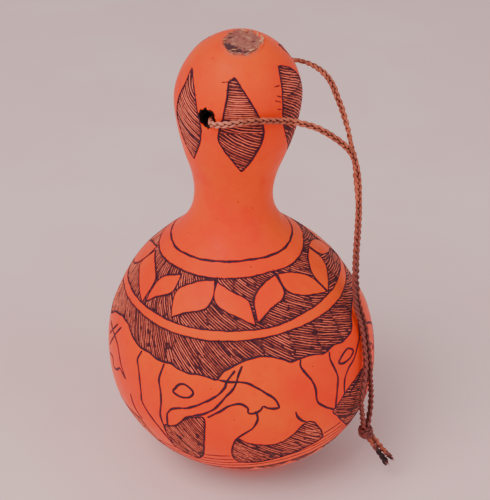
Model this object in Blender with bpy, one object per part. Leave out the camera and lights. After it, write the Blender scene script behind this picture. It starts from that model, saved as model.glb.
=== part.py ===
"""A carved gourd bottle: a hollow dried gourd standing on its flattened base, with a plaited cord through its head.

The gourd grew as one piece, so it is one solid with a wall, two cord holes and its stem scar. The cord is one
loop through both holes, tied in a knot whose two tails hang free. Sizes are in millimetres, and MM turns them
into metres. Azimuth 0 is the front (-Y), and it grows towards +X.
"""

import math

import bmesh
import bpy
import numpy as np
from mathutils import Matrix, Vector

MM = 0.001

# Driving sizes of the gourd
BASE_RADIUS = 13.0
BELLY_HEIGHT = 40.0
BELLY_RADIUS = 44.6
NECK_HEIGHT = 97.0
NECK_RADIUS = 12.4
HEAD_HEIGHT = 129.5
HEAD_RADIUS = 19.4
WALL = 4.0

# The skin from base to crown: height, radius and sideways place of the centre line
OUTLINE = (
    (0.0, BASE_RADIUS, 2.4),
    (2.3, 20.2, 2.3),
    (7.5, 27.5, 1.9),
    (16.0, 36.9, 1.3),
    (28.0, 43.2, 0.6),
    (BELLY_HEIGHT, BELLY_RADIUS, 0.0),
    (52.0, 43.0, -0.6),
    (62.0, 38.6, -1.2),
    (70.5, 33.1, -1.7),
    (78.0, 25.4, -2.2),
    (84.5, 17.7, -2.5),
    (90.5, 13.7, -2.6),
    (NECK_HEIGHT, NECK_RADIUS, -2.5),
    (104.5, 13.4, -2.2),
    (112.5, 16.1, -1.8),
    (121.0, 18.4, -1.3),
    (HEAD_HEIGHT, HEAD_RADIUS, -1.0),
    (136.5, 17.9, -0.7),
    (142.7, 14.3, -0.5),
    (146.6, 10.0, -0.3),
    (148.5, 6.4, 0.2),
)
ROWS_PER_SPAN = 2
SKIN_SIDES = 64
INNER_SIDES = 32

# The crown leans towards the front, about the middle of the head
CROWN_LEAN = math.radians(15.0)
LEAN_FROM = 127.0
LEAN_TO = 146.0

# The stem scar: rings from its torn lip to its middle, as radius, height and how far the lip's tears lift it
SCAR_RINGS = (
    (6.0, 149.1, 0.35),
    (5.5, 148.8, 0.3),
    (5.0, 148.3, 0.0),
    (3.0, 148.5, 0.1),
)
SCAR_MIDDLE = 148.4
TEARS = ((5, 0.4, 0.5), (9, 1.9, 0.3), (14, 0.8, 0.2))

# Cord holes: azimuth and height on the head
HOLE_RADIUS = 2.6
HOLE_SIDES = 20
HOLE_DEPTH = 10.0
HOLES = ((-28.0, 129.3), (145.0, 132.0))

# The cord
CORD_RADIUS = 1.0
CORD_STEP = 5.0
KNOT_CENTRE = (40.5, -24.2, 21.2)
KNOT_RADII = (2.8, 2.6, 2.9)

# The cord's route, from the knot up to the front hole, through the head and down again from the back hole
CORD_ROUTE = (
    (39.7, -24.9, 24.4),
    (39.1, -25.6, 29.0),
    (38.4, -26.6, 35.0),
    (38.9, -25.6, 41.0),
    (39.6, -23.0, 46.5),
    (39.1, -20.3, 52.0),
    (38.3, -17.0, 57.0),
    (36.7, -15.4, 62.0),
    (35.8, -14.8, 68.0),
    (35.4, -14.8, 78.0),
    (35.5, -15.0, 90.0),
    (35.5, -15.2, 100.0),
    (34.9, -15.5, 109.0),
    (33.3, -15.7, 116.0),
    (30.9, -15.9, 119.6),
    (27.3, -16.1, 122.7),
    (22.7, -16.2, 125.6),
    (18.8, -16.0, 126.9),
    (14.5, -16.3, 128.0),
    (9.6, -18.4, 129.1),
    (4.4, -20.4, 129.9),
    (-0.6, -21.0, 129.6),
    (-4.4, -20.9, 129.1),
    (-7.7, -20.0, 128.9),
    (-9.3, -18.6, 128.9),
    (-9.9, -16.7, 129.0),
    (-9.5, -14.7, 129.2),
    (-7.8, -11.2, 129.3),
    (-3.2, -4.0, 129.6),
    (1.3, 3.0, 130.4),
    (6.0, 10.0, 131.6),
    (8.1, 12.9, 132.0),
    (10.1, 15.6, 132.0),
    (12.6, 17.9, 132.5),
    (16.2, 18.3, 133.5),
    (19.9, 16.5, 133.5),
    (23.0, 13.7, 133.1),
    (25.7, 10.4, 132.0),
    (27.7, 7.0, 130.2),
    (29.2, 3.2, 127.4),
    (30.7, 0.0, 124.2),
    (32.2, -4.0, 120.0),
    (33.2, -7.0, 116.0),
    (34.3, -9.0, 112.4),
    (34.8, -10.2, 107.2),
    (35.5, -11.2, 102.0),
    (36.0, -11.8, 97.0),
    (36.1, -12.2, 88.0),
    (36.2, -12.4, 78.0),
    (36.5, -12.4, 68.0),
    (37.5, -12.6, 62.5),
    (39.2, -14.2, 57.0),
    (40.2, -17.6, 52.0),
    (41.0, -20.4, 46.5),
    (41.4, -21.2, 41.0),
    (42.1, -20.4, 34.5),
    (42.2, -20.9, 28.5),
    (41.5, -23.3, 24.4),
)
TAIL_ROUTES = (
    ((42.5, -23.2, 18.9), (44.6, -23.2, 16.4), (47.3, -23.6, 13.0), (50.0, -24.0, 9.8)),
    ((41.4, -25.2, 18.3), (43.3, -25.5, 15.2), (45.7, -25.4, 11.7), (48.2, -25.3, 8.2)),
)

GOURD_COLOUR = (0.90, 0.17, 0.02, 1.0)
CORD_COLOUR = (0.26, 0.08, 0.045, 1.0)
KNOT_COLOUR = (0.16, 0.05, 0.035, 1.0)
TAIL_COLOUR = (0.20, 0.06, 0.035, 1.0)


def clear_scene():
    for item in list(bpy.data.objects):
        bpy.data.objects.remove(item, do_unlink=True)


def make_material(name, colour, roughness):
    material = bpy.data.materials.new(name)
    material.use_nodes = True
    shader = material.node_tree.nodes["Principled BSDF"]
    shader.inputs["Base Color"].default_value = colour
    shader.inputs["Roughness"].default_value = roughness
    shader.inputs["Metallic"].default_value = 0.0
    return material


def smooth_curve(points, steps, before, after):
    """Points on a Catmull-Rom curve through the given ones, with a number of steps for each span."""
    ends = np.vstack([before, points, after])
    curve = []
    for span, count in enumerate(steps):
        a, b, c, d = ends[span : span + 4]
        for t in np.arange(count) / count:
            linear = (c - a) * t
            square = (2 * a - 5 * b + 4 * c - d) * t**2
            cube = (3 * b - a - 3 * c + d) * t**3
            curve.append(b + 0.5 * (linear + square + cube))
    curve.append(ends[-2])
    return np.array(curve)


def skin_rows():
    """The outline as closely spaced rows: height, radius and centre, from base to the scar's lip."""
    outline = np.array(OUTLINE)
    below = outline[0] - (0.0, 7.0, 0.0)
    above = outline[-1] + (outline[-1] - outline[-2]) * (0.3, 1.0, 0.0)
    return smooth_curve(outline, [ROWS_PER_SPAN] * (len(outline) - 1), below, above)


def leaned(point):
    """The point, turned forwards about the middle of the head the nearer it is to the crown."""
    share = min(max((point.z - LEAN_FROM) / (LEAN_TO - LEAN_FROM), 0.0), 1.0)
    share = share * share * (3 - 2 * share)
    pivot = Vector((-1.0, 0.0, HEAD_HEIGHT))
    turn = Matrix.Rotation(CROWN_LEAN * share, 3, "X")
    return pivot + turn @ (point - pivot)


def ring_points(height, radius, centre, sides, lift=0.0):
    """One ring of the skin. Its lift follows the torn lip of the stem scar."""
    points = []
    for side in range(sides):
        azimuth = 2 * math.pi * side / sides
        tear = sum(size * math.cos(count * azimuth + start) for count, start, size in TEARS)
        place = Vector((centre + radius * math.sin(azimuth), -radius * math.cos(azimuth), height + lift * tear))
        points.append(leaned(place))
    return points


def add_ring(mesh, points):
    return [mesh.verts.new(point * MM) for point in points]


def bridge_rings(mesh, lower, upper, outward):
    count = len(lower)
    for side in range(count):
        after = (side + 1) % count
        face = (lower[side], lower[after], upper[after], upper[side])
        mesh.faces.new(face if outward else face[::-1])


def close_ring(mesh, ring, middle, outward):
    """A fan from a ring to its middle point."""
    count = len(ring)
    for side in range(count):
        face = (ring[side], ring[(side + 1) % count], middle)
        mesh.faces.new(face if outward else face[::-1])


def inner_rows(rows):
    """The hollow's rows: every second row of the skin, moved in by the wall along the outline's normal."""
    along = np.gradient(rows[:, :2], axis=0)
    along /= np.linalg.norm(along, axis=1)[:, None]
    inner = rows.copy()
    inner[:, 0] += WALL * along[:, 1]
    inner[:, 1] -= WALL * along[:, 0]
    inner = inner[inner[:, 0] > WALL]
    return inner[::2]


def build_gourd_mesh():
    mesh = bmesh.new()
    rows = skin_rows()
    rings = [add_ring(mesh, ring_points(*row, SKIN_SIDES)) for row in rows]
    centre = OUTLINE[-1][2]
    for radius, height, lift in SCAR_RINGS:
        rings.append(add_ring(mesh, ring_points(height, radius, centre, SKIN_SIDES, lift)))
    for lower, upper in zip(rings, rings[1:]):
        bridge_rings(mesh, lower, upper, outward=True)
    bottom = mesh.verts.new(Vector((OUTLINE[0][2], 0.0, 0.0)) * MM)
    close_ring(mesh, rings[0], bottom, outward=False)
    top = mesh.verts.new(leaned(Vector((centre, 0.0, SCAR_MIDDLE))) * MM)
    close_ring(mesh, rings[-1], top, outward=True)

    hollow = inner_rows(rows)
    rings = [add_ring(mesh, ring_points(*row, INNER_SIDES)) for row in hollow]
    for lower, upper in zip(rings, rings[1:]):
        bridge_rings(mesh, lower, upper, outward=False)
    bottom = mesh.verts.new(Vector((hollow[0][2], 0.0, hollow[0][0])) * MM)
    close_ring(mesh, rings[0], bottom, outward=True)
    top = mesh.verts.new(leaned(Vector((hollow[-1][2], 0.0, hollow[-1][0] + 0.5))) * MM)
    close_ring(mesh, rings[-1], top, outward=False)
    return mesh


def hole_cutter(number, azimuth, height):
    """A short ragged-sided bar, pointing out of the head where the cord passes through its wall."""
    outward = Vector((math.sin(azimuth), -math.cos(azimuth), 0.0))
    across = Vector((math.cos(azimuth), math.sin(azimuth), 0.0))
    middle = Vector((-1.0, 0.0, height)) + outward * (HEAD_RADIUS - WALL / 2)
    mesh = bmesh.new()
    rings = []
    for end in (-0.5, 0.5):
        ring = []
        for side in range(HOLE_SIDES):
            angle = 2 * math.pi * side / HOLE_SIDES
            radius = HOLE_RADIUS * (1 + 0.05 * math.cos(3 * angle) + 0.03 * math.cos(7 * angle + 1.0))
            offset = across * math.cos(angle) + Vector((0.0, 0.0, math.sin(angle)))
            ring.append(mesh.verts.new((middle + outward * HOLE_DEPTH * end + offset * radius) * MM))
        rings.append(ring)
    bridge_rings(mesh, rings[0], rings[1], outward=True)
    mesh.faces.new(rings[0][::-1])
    mesh.faces.new(rings[1])
    bmesh.ops.recalc_face_normals(mesh, faces=mesh.faces)
    cutter = object_from(mesh, f"hole_cutter_{number}")
    cutter.hide_render = True
    cutter.display_type = "WIRE"
    return cutter


def object_from(mesh, name):
    data = bpy.data.meshes.new(name)
    mesh.to_mesh(data)
    mesh.free()
    item = bpy.data.objects.new(name, data)
    bpy.context.scene.collection.objects.link(item)
    return item


def build_gourd():
    gourd = object_from(build_gourd_mesh(), "gourd")
    gourd.data.materials.append(make_material("gourd_skin", GOURD_COLOUR, 0.38))
    gourd.data.shade_smooth()
    for number, (azimuth, height) in enumerate(HOLES, start=1):
        cut = gourd.modifiers.new(f"cord_hole_{number}", "BOOLEAN")
        cut.operation = "DIFFERENCE"
        cut.object = hole_cutter(number, math.radians(azimuth), height)


def route_points(route):
    """The route's own points, with more between those that lie far apart, on one smooth curve."""
    points = np.array(route)
    spans = np.linalg.norm(np.diff(points, axis=0), axis=1)
    steps = np.maximum(1, np.round(spans / CORD_STEP)).astype(int)
    return smooth_curve(points, steps, 2 * points[0] - points[1], 2 * points[-1] - points[-2])


def build_cord(name, route, colour):
    curve = bpy.data.curves.new(name, "CURVE")
    curve.dimensions = "3D"
    curve.bevel_depth = CORD_RADIUS * MM
    curve.bevel_resolution = 2
    curve.use_fill_caps = True
    points = route_points(route)
    spline = curve.splines.new("POLY")
    spline.points.add(len(points) - 1)
    for spot, point in zip(spline.points, points):
        spot.co = (*(point * MM), 1.0)
    spline.use_smooth = True
    curve.materials.append(make_material(f"{name}_fibre", colour, 0.7))
    item = bpy.data.objects.new(name, curve)
    bpy.context.scene.collection.objects.link(item)


def build_knot():
    """The knot's outer shape, between the two legs of the loop and the two tails."""
    mesh = bmesh.new()
    bmesh.ops.create_uvsphere(mesh, u_segments=16, v_segments=10, radius=1.0)
    bmesh.ops.scale(mesh, vec=Vector(KNOT_RADII) * MM, verts=mesh.verts)
    bmesh.ops.translate(mesh, vec=Vector(KNOT_CENTRE) * MM, verts=mesh.verts)
    knot = object_from(mesh, "cord_knot")
    knot.data.materials.append(make_material("knot_fibre", KNOT_COLOUR, 0.7))
    knot.data.shade_smooth()


def main():
    clear_scene()
    build_gourd()
    build_cord("cord", CORD_ROUTE, CORD_COLOUR)
    build_knot()
    for number, route in enumerate(TAIL_ROUTES, start=1):
        build_cord(f"cord_tail_{number}", route, TAIL_COLOUR)


main()
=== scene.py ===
"""A carved gourd bottle on a pale studio floor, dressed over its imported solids.

Sizes are in millimetres, and MM turns them into metres. A place on the gourd's skin is an azimuth in
degrees, 0 at the front (-Y) and growing towards +X, and a height on the upright outline in millimetres,
before the crown leans forwards.
"""

import logging
import math
from collections.abc import Callable
from dataclasses import dataclass, field, replace
from enum import Enum
from typing import Union

import bmesh
import bpy
import numpy as np
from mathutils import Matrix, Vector
from mathutils.kdtree import KDTree


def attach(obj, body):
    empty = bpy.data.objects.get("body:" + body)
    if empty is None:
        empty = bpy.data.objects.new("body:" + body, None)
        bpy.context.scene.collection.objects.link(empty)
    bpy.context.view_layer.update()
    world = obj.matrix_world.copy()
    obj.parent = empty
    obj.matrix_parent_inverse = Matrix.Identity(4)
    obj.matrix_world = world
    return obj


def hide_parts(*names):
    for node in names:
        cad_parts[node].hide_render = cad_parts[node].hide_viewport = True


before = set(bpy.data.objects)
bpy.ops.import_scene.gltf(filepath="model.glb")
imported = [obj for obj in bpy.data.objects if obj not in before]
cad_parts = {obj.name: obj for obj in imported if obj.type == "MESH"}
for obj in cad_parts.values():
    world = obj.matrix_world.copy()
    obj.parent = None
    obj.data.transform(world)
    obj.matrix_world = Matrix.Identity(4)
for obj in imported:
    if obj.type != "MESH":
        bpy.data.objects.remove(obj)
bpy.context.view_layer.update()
LOG = logging.getLogger("gourd")

Array = np.ndarray
Object = bpy.types.Object
Material = bpy.types.Material
Socket = bpy.types.NodeSocket
Feed = Union[Socket, float, tuple]

MM = 0.001

# The gourd's own form: height, radius and sideways place of the centre line
OUTLINE = (
    (0.0, 13.0, 2.4),
    (2.3, 20.2, 2.3),
    (7.5, 27.5, 1.9),
    (16.0, 36.9, 1.3),
    (28.0, 43.2, 0.6),
    (40.0, 44.6, 0.0),
    (52.0, 43.0, -0.6),
    (62.0, 38.6, -1.2),
    (70.5, 33.1, -1.7),
    (78.0, 25.4, -2.2),
    (84.5, 17.7, -2.5),
    (90.5, 13.7, -2.6),
    (97.0, 12.4, -2.5),
    (104.5, 13.4, -2.2),
    (112.5, 16.1, -1.8),
    (121.0, 18.4, -1.3),
    (129.5, 19.4, -1.0),
    (136.5, 17.9, -0.7),
    (142.7, 14.3, -0.5),
    (146.6, 10.0, -0.3),
    (148.5, 6.4, 0.2),
)
# Spacing of the skin's rows in millimetres, up to each height
ROW_SPACING = (
    (4.0, 2.2), (18.0, 0.95), (68.0, 0.66), (80.0, 0.64), (87.0, 1.0), (109.0, 1.7), (146.0, 0.66),
    (149.0, 0.6),
)

# Turns that repeat the first animal round the hidden side, and the turn of the animal after the second
ANIMAL_TURNS = (144.0, 216.0)
NEXT_ANIMAL = 74.0


def turned(points: tuple, turn: float) -> tuple:
    """The places moved round the gourd by some degrees."""
    return tuple((azimuth + turn, height) for azimuth, height in points)


# Carved rings: places on each line round the gourd
COLLAR_LINE = (
    (-116, 81.6), (-101, 82.2), (-85, 82.3), (-61, 82.0), (-32, 82.3), (-6, 82.7), (15, 82.9), (48, 82.7),
    (78, 83.4), (105, 83.9), (180, 82.6),
)
SHOULDER_TOP = (
    (-92, 79.1), (-71, 78.8), (-47, 79.0), (-25, 79.0), (0, 79.3), (27, 79.7), (48, 79.4), (64, 79.9),
    (88, 80.7), (113, 80.4), (180, 79.5),
)
SHOULDER_FOOT = (
    (-92, 66.9), (-75, 67.6), (-46, 67.5), (-28, 67.2), (-2, 67.6), (21, 67.9), (33, 68.8), (56, 69.7),
    (80, 70.0), (99, 69.2), (180, 68.0),
)
BELLY_TOP = (
    (-99, 62.8), (-83, 65.0), (-59, 65.3), (-36, 64.7), (-15, 64.7), (6, 65.3), (30, 66.1), (60, 66.7),
    (94, 67.3), (180, 65.8),
)
# The animals' backs on the seen side, where the hatched sky above them ends
SEEN_BACKS = (
    (-86, 53.4), (-77, 57.8), (-68, 59.9), (-60, 59.7), (-55, 58.0), (-51, 56.9), (-47, 56.5), (-42, 56.7),
    (-38, 55.9), (-34, 55.7), (-30, 56.3), (-27, 55.5), (-22, 54.7), (-18, 55.1), (-14, 55.0), (-10, 54.1),
    (-9, 54.2), (-6, 57.0), (0, 59.0), (5, 60.3), (11, 60.8), (16, 60.1), (21, 58.6), (23, 57.8), (28, 58.0),
    (34, 58.1), (39, 57.0), (42, 57.0), (46, 57.8), (52, 57.0), (56, 57.1), (60, 57.3), (63, 58.6),
    (66, 60.6), (71, 62.2), (77, 63.0), (85, 61.9), (90, 60.0), (95, 58.6),
)
# The hidden side repeats stretches of the seen one, with a few places of its own between them
BACKS = (
    *SEEN_BACKS,
    *turned(SEEN_BACKS[23:30], NEXT_ANIMAL),
    (135, 57.3), (138, 57.0), (141, 57.9),
    *turned(SEEN_BACKS[2:15] + SEEN_BACKS[16:17], 216.0),
    *turned(SEEN_BACKS[1:13], 288.0),
    (270, 54.6),
)

# Leaves on the head: from the top tip down the right side to the bottom tip, then up the left side
LEAF_LEFT = (
    ((-72.9, 142.5), (-64.0, 141.7), (-52.1, 139.2), (-43.3, 135.7), (-36.5, 130.1), (-33.7, 126.1),
     (-34.0, 124.0), (-37.7, 119.4), (-49.5, 113.3)),
    ((-49.5, 113.3), (-57.9, 116.4), (-62.9, 118.9), (-66.5, 121.6), (-70.2, 125.1), (-68.4, 129.1),
     (-66.7, 133.0), (-65.5, 137.2), (-68.0, 140.2), (-72.9, 142.5)),
)
LEAF_MIDDLE = (
    ((-7.2, 145.0), (-1.3, 143.8), (6.7, 140.6), (13.0, 136.0), (17.7, 131.4), (21.2, 128.8), (24.0, 125.5),
     (23.4, 121.7), (19.1, 117.6), (13.6, 113.9), (7.0, 111.4)),
    ((7.0, 111.4), (-0.1, 114.2), (-9.5, 118.3), (-15.4, 121.4), (-17.0, 123.5), (-15.5, 127.3),
     (-13.0, 130.4), (-12.3, 136.0), (-12.4, 140.4), (-14.0, 143.8)),
    ((-14.0, 143.8), (-7.2, 145.0)),
)
LEAF_RIGHT = (
    ((61.5, 144.6), (70.0, 143.4), (80.0, 140.5), (88.0, 135.0), (91.0, 129.0), (89.0, 123.0), (83.0, 118.0),
     (74.0, 113.4)),
    ((74.0, 113.4), (64.0, 116.6), (53.7, 120.5), (46.0, 124.9), (42.7, 129.0), (42.5, 131.3), (44.7, 136.4),
     (52.8, 142.0), (61.5, 144.6)),
)
# Turns of the middle leaf that fill the hidden side
LEAF_TURNS = (116.0, 180.0, 237.0)

# Petals on the shoulder, each from its tip along the upper side to its other tip and back below
PETALS = (
    (((-84, 78.4), (-100, 76.0), (-111, 72.5), (-106, 67.8)),
     ((-106, 67.8), (-90, 70.7), (-84, 74.5), (-84, 78.4))),
    (((-81, 77.8), (-66, 76.1), (-57, 73.8), (-57, 67.7)),
     ((-57, 67.7), (-72, 71.3), (-83, 73.1), (-81, 77.8))),
    (((-40, 78.1), (-51, 76.3), (-55, 74.1), (-55, 68.5)),
     ((-55, 68.5), (-49, 71.2), (-41, 73.5), (-39.5, 75.5), (-40, 78.1))),
    (((-14, 78.7), (-24, 78.0), (-33, 76.3), (-38, 74.0), (-35, 68.3)),
     ((-35, 68.3), (-27, 70.6), (-18, 72.0), (-14, 74.2), (-13, 76.8), (-14, 78.7))),
    (((-12, 78.5), (-3, 76.8), (7, 74.9), (9, 73.0), (10, 68.7)),
     ((10, 68.7), (2, 70.7), (-6, 72.3), (-11, 73.7), (-13, 75.5), (-12, 78.5))),
    (((31, 78.9), (20, 77.6), (13, 75.5), (11, 73.2), (11.3, 69.3)),
     ((11.3, 69.3), (17, 71.3), (23, 72.7), (29, 73.7), (32, 75.5), (31, 78.9))),
    (((33, 78.9), (41, 78.4), (48, 77.5), (56, 75.0), (59, 70.4)),
     ((59, 70.4), (50, 71.6), (43, 72.6), (36.5, 73.9), (33, 75.8), (33, 78.9))),
    (((79, 79.2), (68, 78.3), (60, 76.0), (58.5, 73.5), (60, 70.2)),
     ((60, 70.2), (68, 72.3), (75, 73.8), (80, 75.9), (79, 79.2))),
    (((81, 79.4), (92, 78.6), (100, 77.1), (105, 74.6), (104, 71.9)),
     ((104, 71.9), (90, 74.3), (83, 76.2), (81, 79.4))),
)
# A pair of petals, and its turns that fill the hidden side
PETAL_PAIR = (5, 6)
PETAL_TURNS = (93.5, 140.5, 187.5)

# Line drawing of one animal, whose eye is 23 degrees to the left of the front
EAR_BACK = (
    (-46, 56.4), (-48, 52.8), (-47, 50.6), (-46, 47.7), (-45, 42.5), (-45, 38.6), (-42, 35.4), (-38, 32.0),
    (-35, 28.6), (-32, 22.8),
)
EAR_FRONT = (
    (-33, 55.9), (-34, 53.2), (-35, 49.8), (-34, 46.0), (-34, 41.7), (-35, 37.0), (-34, 33.0), (-33.5, 31.0),
)
EYE = (
    (-28, 47.9), (-25.8, 50.4), (-23, 51.2), (-20.6, 50.4), (-19, 49.1), (-20.6, 47.4), (-23, 46.8),
    (-26, 46.9), (-28, 47.9), (-25.8, 50.4),
)
TUSK_TOP = (
    (-32, 32.4), (-31.6, 37.0), (-31, 39.2), (-28, 41.7), (-22, 43.2), (-16, 45.8), (-10, 48.8), (-6, 52.0),
    (-5, 53.9), (-1, 57.6),
)
TUSK_FOOT = (
    (-24, 38.9), (-20, 40.7), (-15, 42.3), (-10, 45.1), (-6, 48.8), (-2, 52.4), (0, 56.0), (2, 58.9),
)
TRUNK = (
    (-9, 54.2), (-3, 53.9), (1, 53.9), (5, 52.9), (10, 50.4), (14, 47.6), (15.3, 45.1), (15, 44.5),
    (11, 44.9), (9, 45.8), (8, 44.6), (6, 43.6), (3, 43.7), (3, 45.2), (2, 46.2), (0, 46.9), (-4, 46.3),
    (-8, 44.2), (-14, 40.9),
)
HIND_LEG = ((5.4, 44.6), (6.4, 42.9), (6.3, 40.7), (4, 37.7), (0, 35.4), (-2, 33.9), (-3.4, 32.4))
FRONT_LEG = ((22, 42.4), (23, 39.6), (25, 37.7), (27, 36.7))
ANIMAL = (EAR_BACK, EAR_FRONT, EYE, TUSK_TOP, TUSK_FOOT, TRUNK, HIND_LEG, FRONT_LEG)
# The next animal, whose eye is 51 degrees to the right
SECOND_ANIMAL = (
    ((28, 58.2), (27, 56.0), (29, 53.0), (31, 50.4), (32, 47.3), (32, 43.7), (34, 41.2), (40.7, 36.9)),
    ((43, 57.2), (42, 54.6), (43, 51.4), (44, 48.1), (43, 44.4), (42, 40.5), (41.3, 36.6)),
    ((46, 52.3), (50, 53.8), (54, 54.1), (57, 52.3), (53, 51.1), (49, 51.0), (46, 52.3), (50, 53.8)),
    ((72, 58.5), (68, 56.5), (65, 54.2), (60, 51.9), (56, 49.9), (52, 48.7), (49, 47.0), (47.4, 44.8),
     (46.8, 40.4)),
)
# The animal at the left edge: its tusks, trunk and leg
LEFT_ANIMAL = (
    ((-78, 49.2), (-69, 56.8)),
    ((-76, 45.8), (-65, 57.5)),
    ((-81, 53.1), (-75, 52.8), (-69, 52.3), (-64, 50.6), (-60, 46.2), (-56, 42.5), (-58, 43.2), (-61, 44.2),
     (-65, 41.7), (-69, 41.2), (-70, 44.2), (-76, 43.0)),
    ((-53, 38.5), (-52, 34.9), (-50, 32.0), (-47, 29.6)),
)
# What is drawn of each animal, and how far it is turned from where it is given
PROCESSION = (
    (0.0, ANIMAL),
    *((turn, ANIMAL) for turn in ANIMAL_TURNS),
    (0.0, SECOND_ANIMAL),
    (NEXT_ANIMAL, (TUSK_FOOT, TRUNK, HIND_LEG, FRONT_LEG)),
    (-72.0, (EAR_BACK, EAR_FRONT, EYE)),
    (0.0, LEFT_ANIMAL),
)

# Hatched gaps under the animals' chins and between their legs
CHIN = (
    (-34, 33.0), (-33, 27.5), (-32, 22.8), (-27, 20.9), (-22, 19.8), (-18, 23.7), (-16, 30.4), (-15, 36.0),
    (-15, 40.8), (-19, 40.4), (-23, 39.3), (-27, 35.7), (-30, 34.2),
)
BELLY_GAP = (
    (-2, 33.9), (2, 31.9), (8, 30.6), (15, 30.5), (21, 33.2), (24, 35.4), (27, 36.7), (30, 35.8), (33, 32.5),
    (35, 29.4), (35.5, 26.0), (26, 24.0), (14, 21.8), (4, 20.6), (-3, 21.7), (-5, 26.1), (-4, 30.9),
)
SECOND_CHIN = (
    (40, 36.7), (44, 38.9), (48, 41.2), (55, 43.0), (60, 43.8), (65, 43.0), (67, 38.0), (66, 32.3),
    (64, 26.5), (60, 23.8), (54, 23.9), (50, 26.6), (46, 30.1), (42.5, 33.8),
)
LEFT_GAP = (
    (-70, 29.0), (-62, 29.6), (-54, 29.4), (-49, 29.2), (-46, 25.1), (-43.5, 20.5), (-44.5, 17.6),
    (-51, 17.0), (-60, 18.4), (-68, 21.5), (-72, 25.5),
)
# Each gap's corners, the fall of its strokes in degrees, and its turns round the gourd
GAPS = (
    (LEFT_GAP, 52.0, (0.0,)),
    (SECOND_CHIN, 28.0, (0.0,)),
    (CHIN, 52.0, (0.0, *ANIMAL_TURNS)),
    (BELLY_GAP, 38.0, (0.0, NEXT_ANIMAL, *ANIMAL_TURNS)),
)

# How far the shoulder's strokes fall to the right at each azimuth, above and below the petals' middles
UPPER_SLANTS = (
    (-90, 80), (-60, 80), (-35, 66), (-10, 45), (10, 38), (40, 35), (60, 50), (75, 30), (90, 15), (180, 50),
)
LOWER_SLANTS = (
    (-90, 78), (-60, 74), (-44, 70), (-26, 40), (-5, 38), (20, 36), (45, 33), (60, 20), (80, 8), (180, 45),
)

# The rings' lines: their places, width and number of slips
RINGS = (
    (COLLAR_LINE, 0.84, 0), (SHOULDER_TOP, 0.42, 80), (SHOULDER_FOOT, 0.42, 60), (BELLY_TOP, 0.42, 100),
    (BACKS, 0.56, 30),
)
# The border under the feet: height, width and tone of each of its lines in the middle
BORDER_LINES = (
    (25.3, 0.54, 0.45), (22.9, 0.50, 0.5), (20.8, 0.50, 0.6), (18.7, 0.54, 0.45), (16.2, 0.66, 0.3),
)
# The border's rise towards +X, and the teeth below it: their number, height and half width
BORDER_RISE = 0.13
BORDER_TEETH = 21
TOOTH_HEIGHT = 4.2
TOOTH_SHARE = 0.42

# Stray marks: the knife's slips beside the leaves
SLIPS = (
    ((-24.0, 143.4), (-11.6, 144.1)), ((38.5, 140.8), (48.5, 140.1)), ((37.6, 137.7), (44.5, 136.1)),
    ((34.0, 136.3), (42.9, 134.1)), ((35.2, 132.4), (42.0, 131.4)),
)

# The cord
KNOT_CENTRE = (40.5, -24.2, 21.2)
FRONT_MOUTH = (-9.0, -17.0, 128.6)
CORD_ROUTE = (
    (39.7, -24.9, 24.4), (39.1, -25.6, 29.0), (38.4, -26.6, 35.0), (38.9, -25.6, 41.0), (39.6, -23.0, 46.5),
    (39.1, -20.3, 52.0), (38.3, -17.0, 57.0), (36.7, -15.4, 62.0), (35.8, -14.8, 68.0), (35.4, -14.8, 78.0),
    (35.5, -15.0, 90.0), (35.5, -15.2, 100.0), (34.9, -15.5, 109.0), (33.3, -15.7, 116.0),
    (30.9, -15.9, 119.6), (27.3, -16.1, 122.7), (22.7, -16.2, 125.6), (18.8, -16.0, 126.9),
    (14.5, -16.3, 128.0), (9.6, -18.4, 129.1), (4.4, -20.4, 129.9), (-0.6, -21.0, 129.6),
    (-4.2, -20.8, 129.0), (-7.1, -19.9, 128.5), (-8.5, -18.6, 128.2), (-8.9, -16.8, 128.0),
    (-8.6, -14.7, 127.9), (-7.3, -11.2, 127.8), (-3.2, -4.0, 128.4), (1.3, 3.0, 130.0), (6.0, 10.0, 131.6),
    (8.1, 12.9, 132.0), (10.1, 15.6, 132.0), (12.6, 17.9, 132.5), (16.2, 18.3, 133.5), (19.9, 16.5, 133.5),
    (23.0, 13.7, 133.1), (25.7, 10.4, 132.0), (27.7, 7.0, 130.2), (29.2, 3.2, 127.4), (30.7, 0.0, 124.2),
    (32.2, -4.0, 120.0), (33.2, -7.0, 116.0), (34.3, -9.0, 112.4), (34.8, -10.2, 107.2),
    (35.5, -11.2, 102.0), (36.0, -11.8, 97.0), (36.1, -12.2, 88.0), (36.2, -12.4, 78.0), (36.5, -12.4, 68.0),
    (37.5, -12.6, 62.5), (39.2, -14.2, 57.0), (40.2, -17.6, 52.0), (41.0, -20.4, 46.5), (41.4, -21.2, 41.0),
    (42.1, -20.4, 34.5), (42.2, -20.9, 28.5), (41.5, -23.3, 24.4),
)
# Where the loop's two ends disappear in the knot
LOOP_ROOTS = ((40.1, -24.6, 22.4), (41.1, -23.9, 22.4))
TAIL_ROUTES = (
    ((41.4, -23.8, 20.8), (42.6, -23.6, 18.7), (44.5, -23.6, 16.1), (47.1, -23.9, 12.7), (49.8, -24.1, 9.7)),
    ((41.0, -24.6, 20.4), (42.0, -24.8, 18.0), (43.7, -25.0, 15.3), (46.0, -25.1, 11.8), (48.3, -25.3, 8.2)),
)


class Slot(Enum):
    """The record's material slots."""

    RIND = "gourd_skin"
    FIBRE = "cord_fibre"


# Shared drawing helpers


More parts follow.
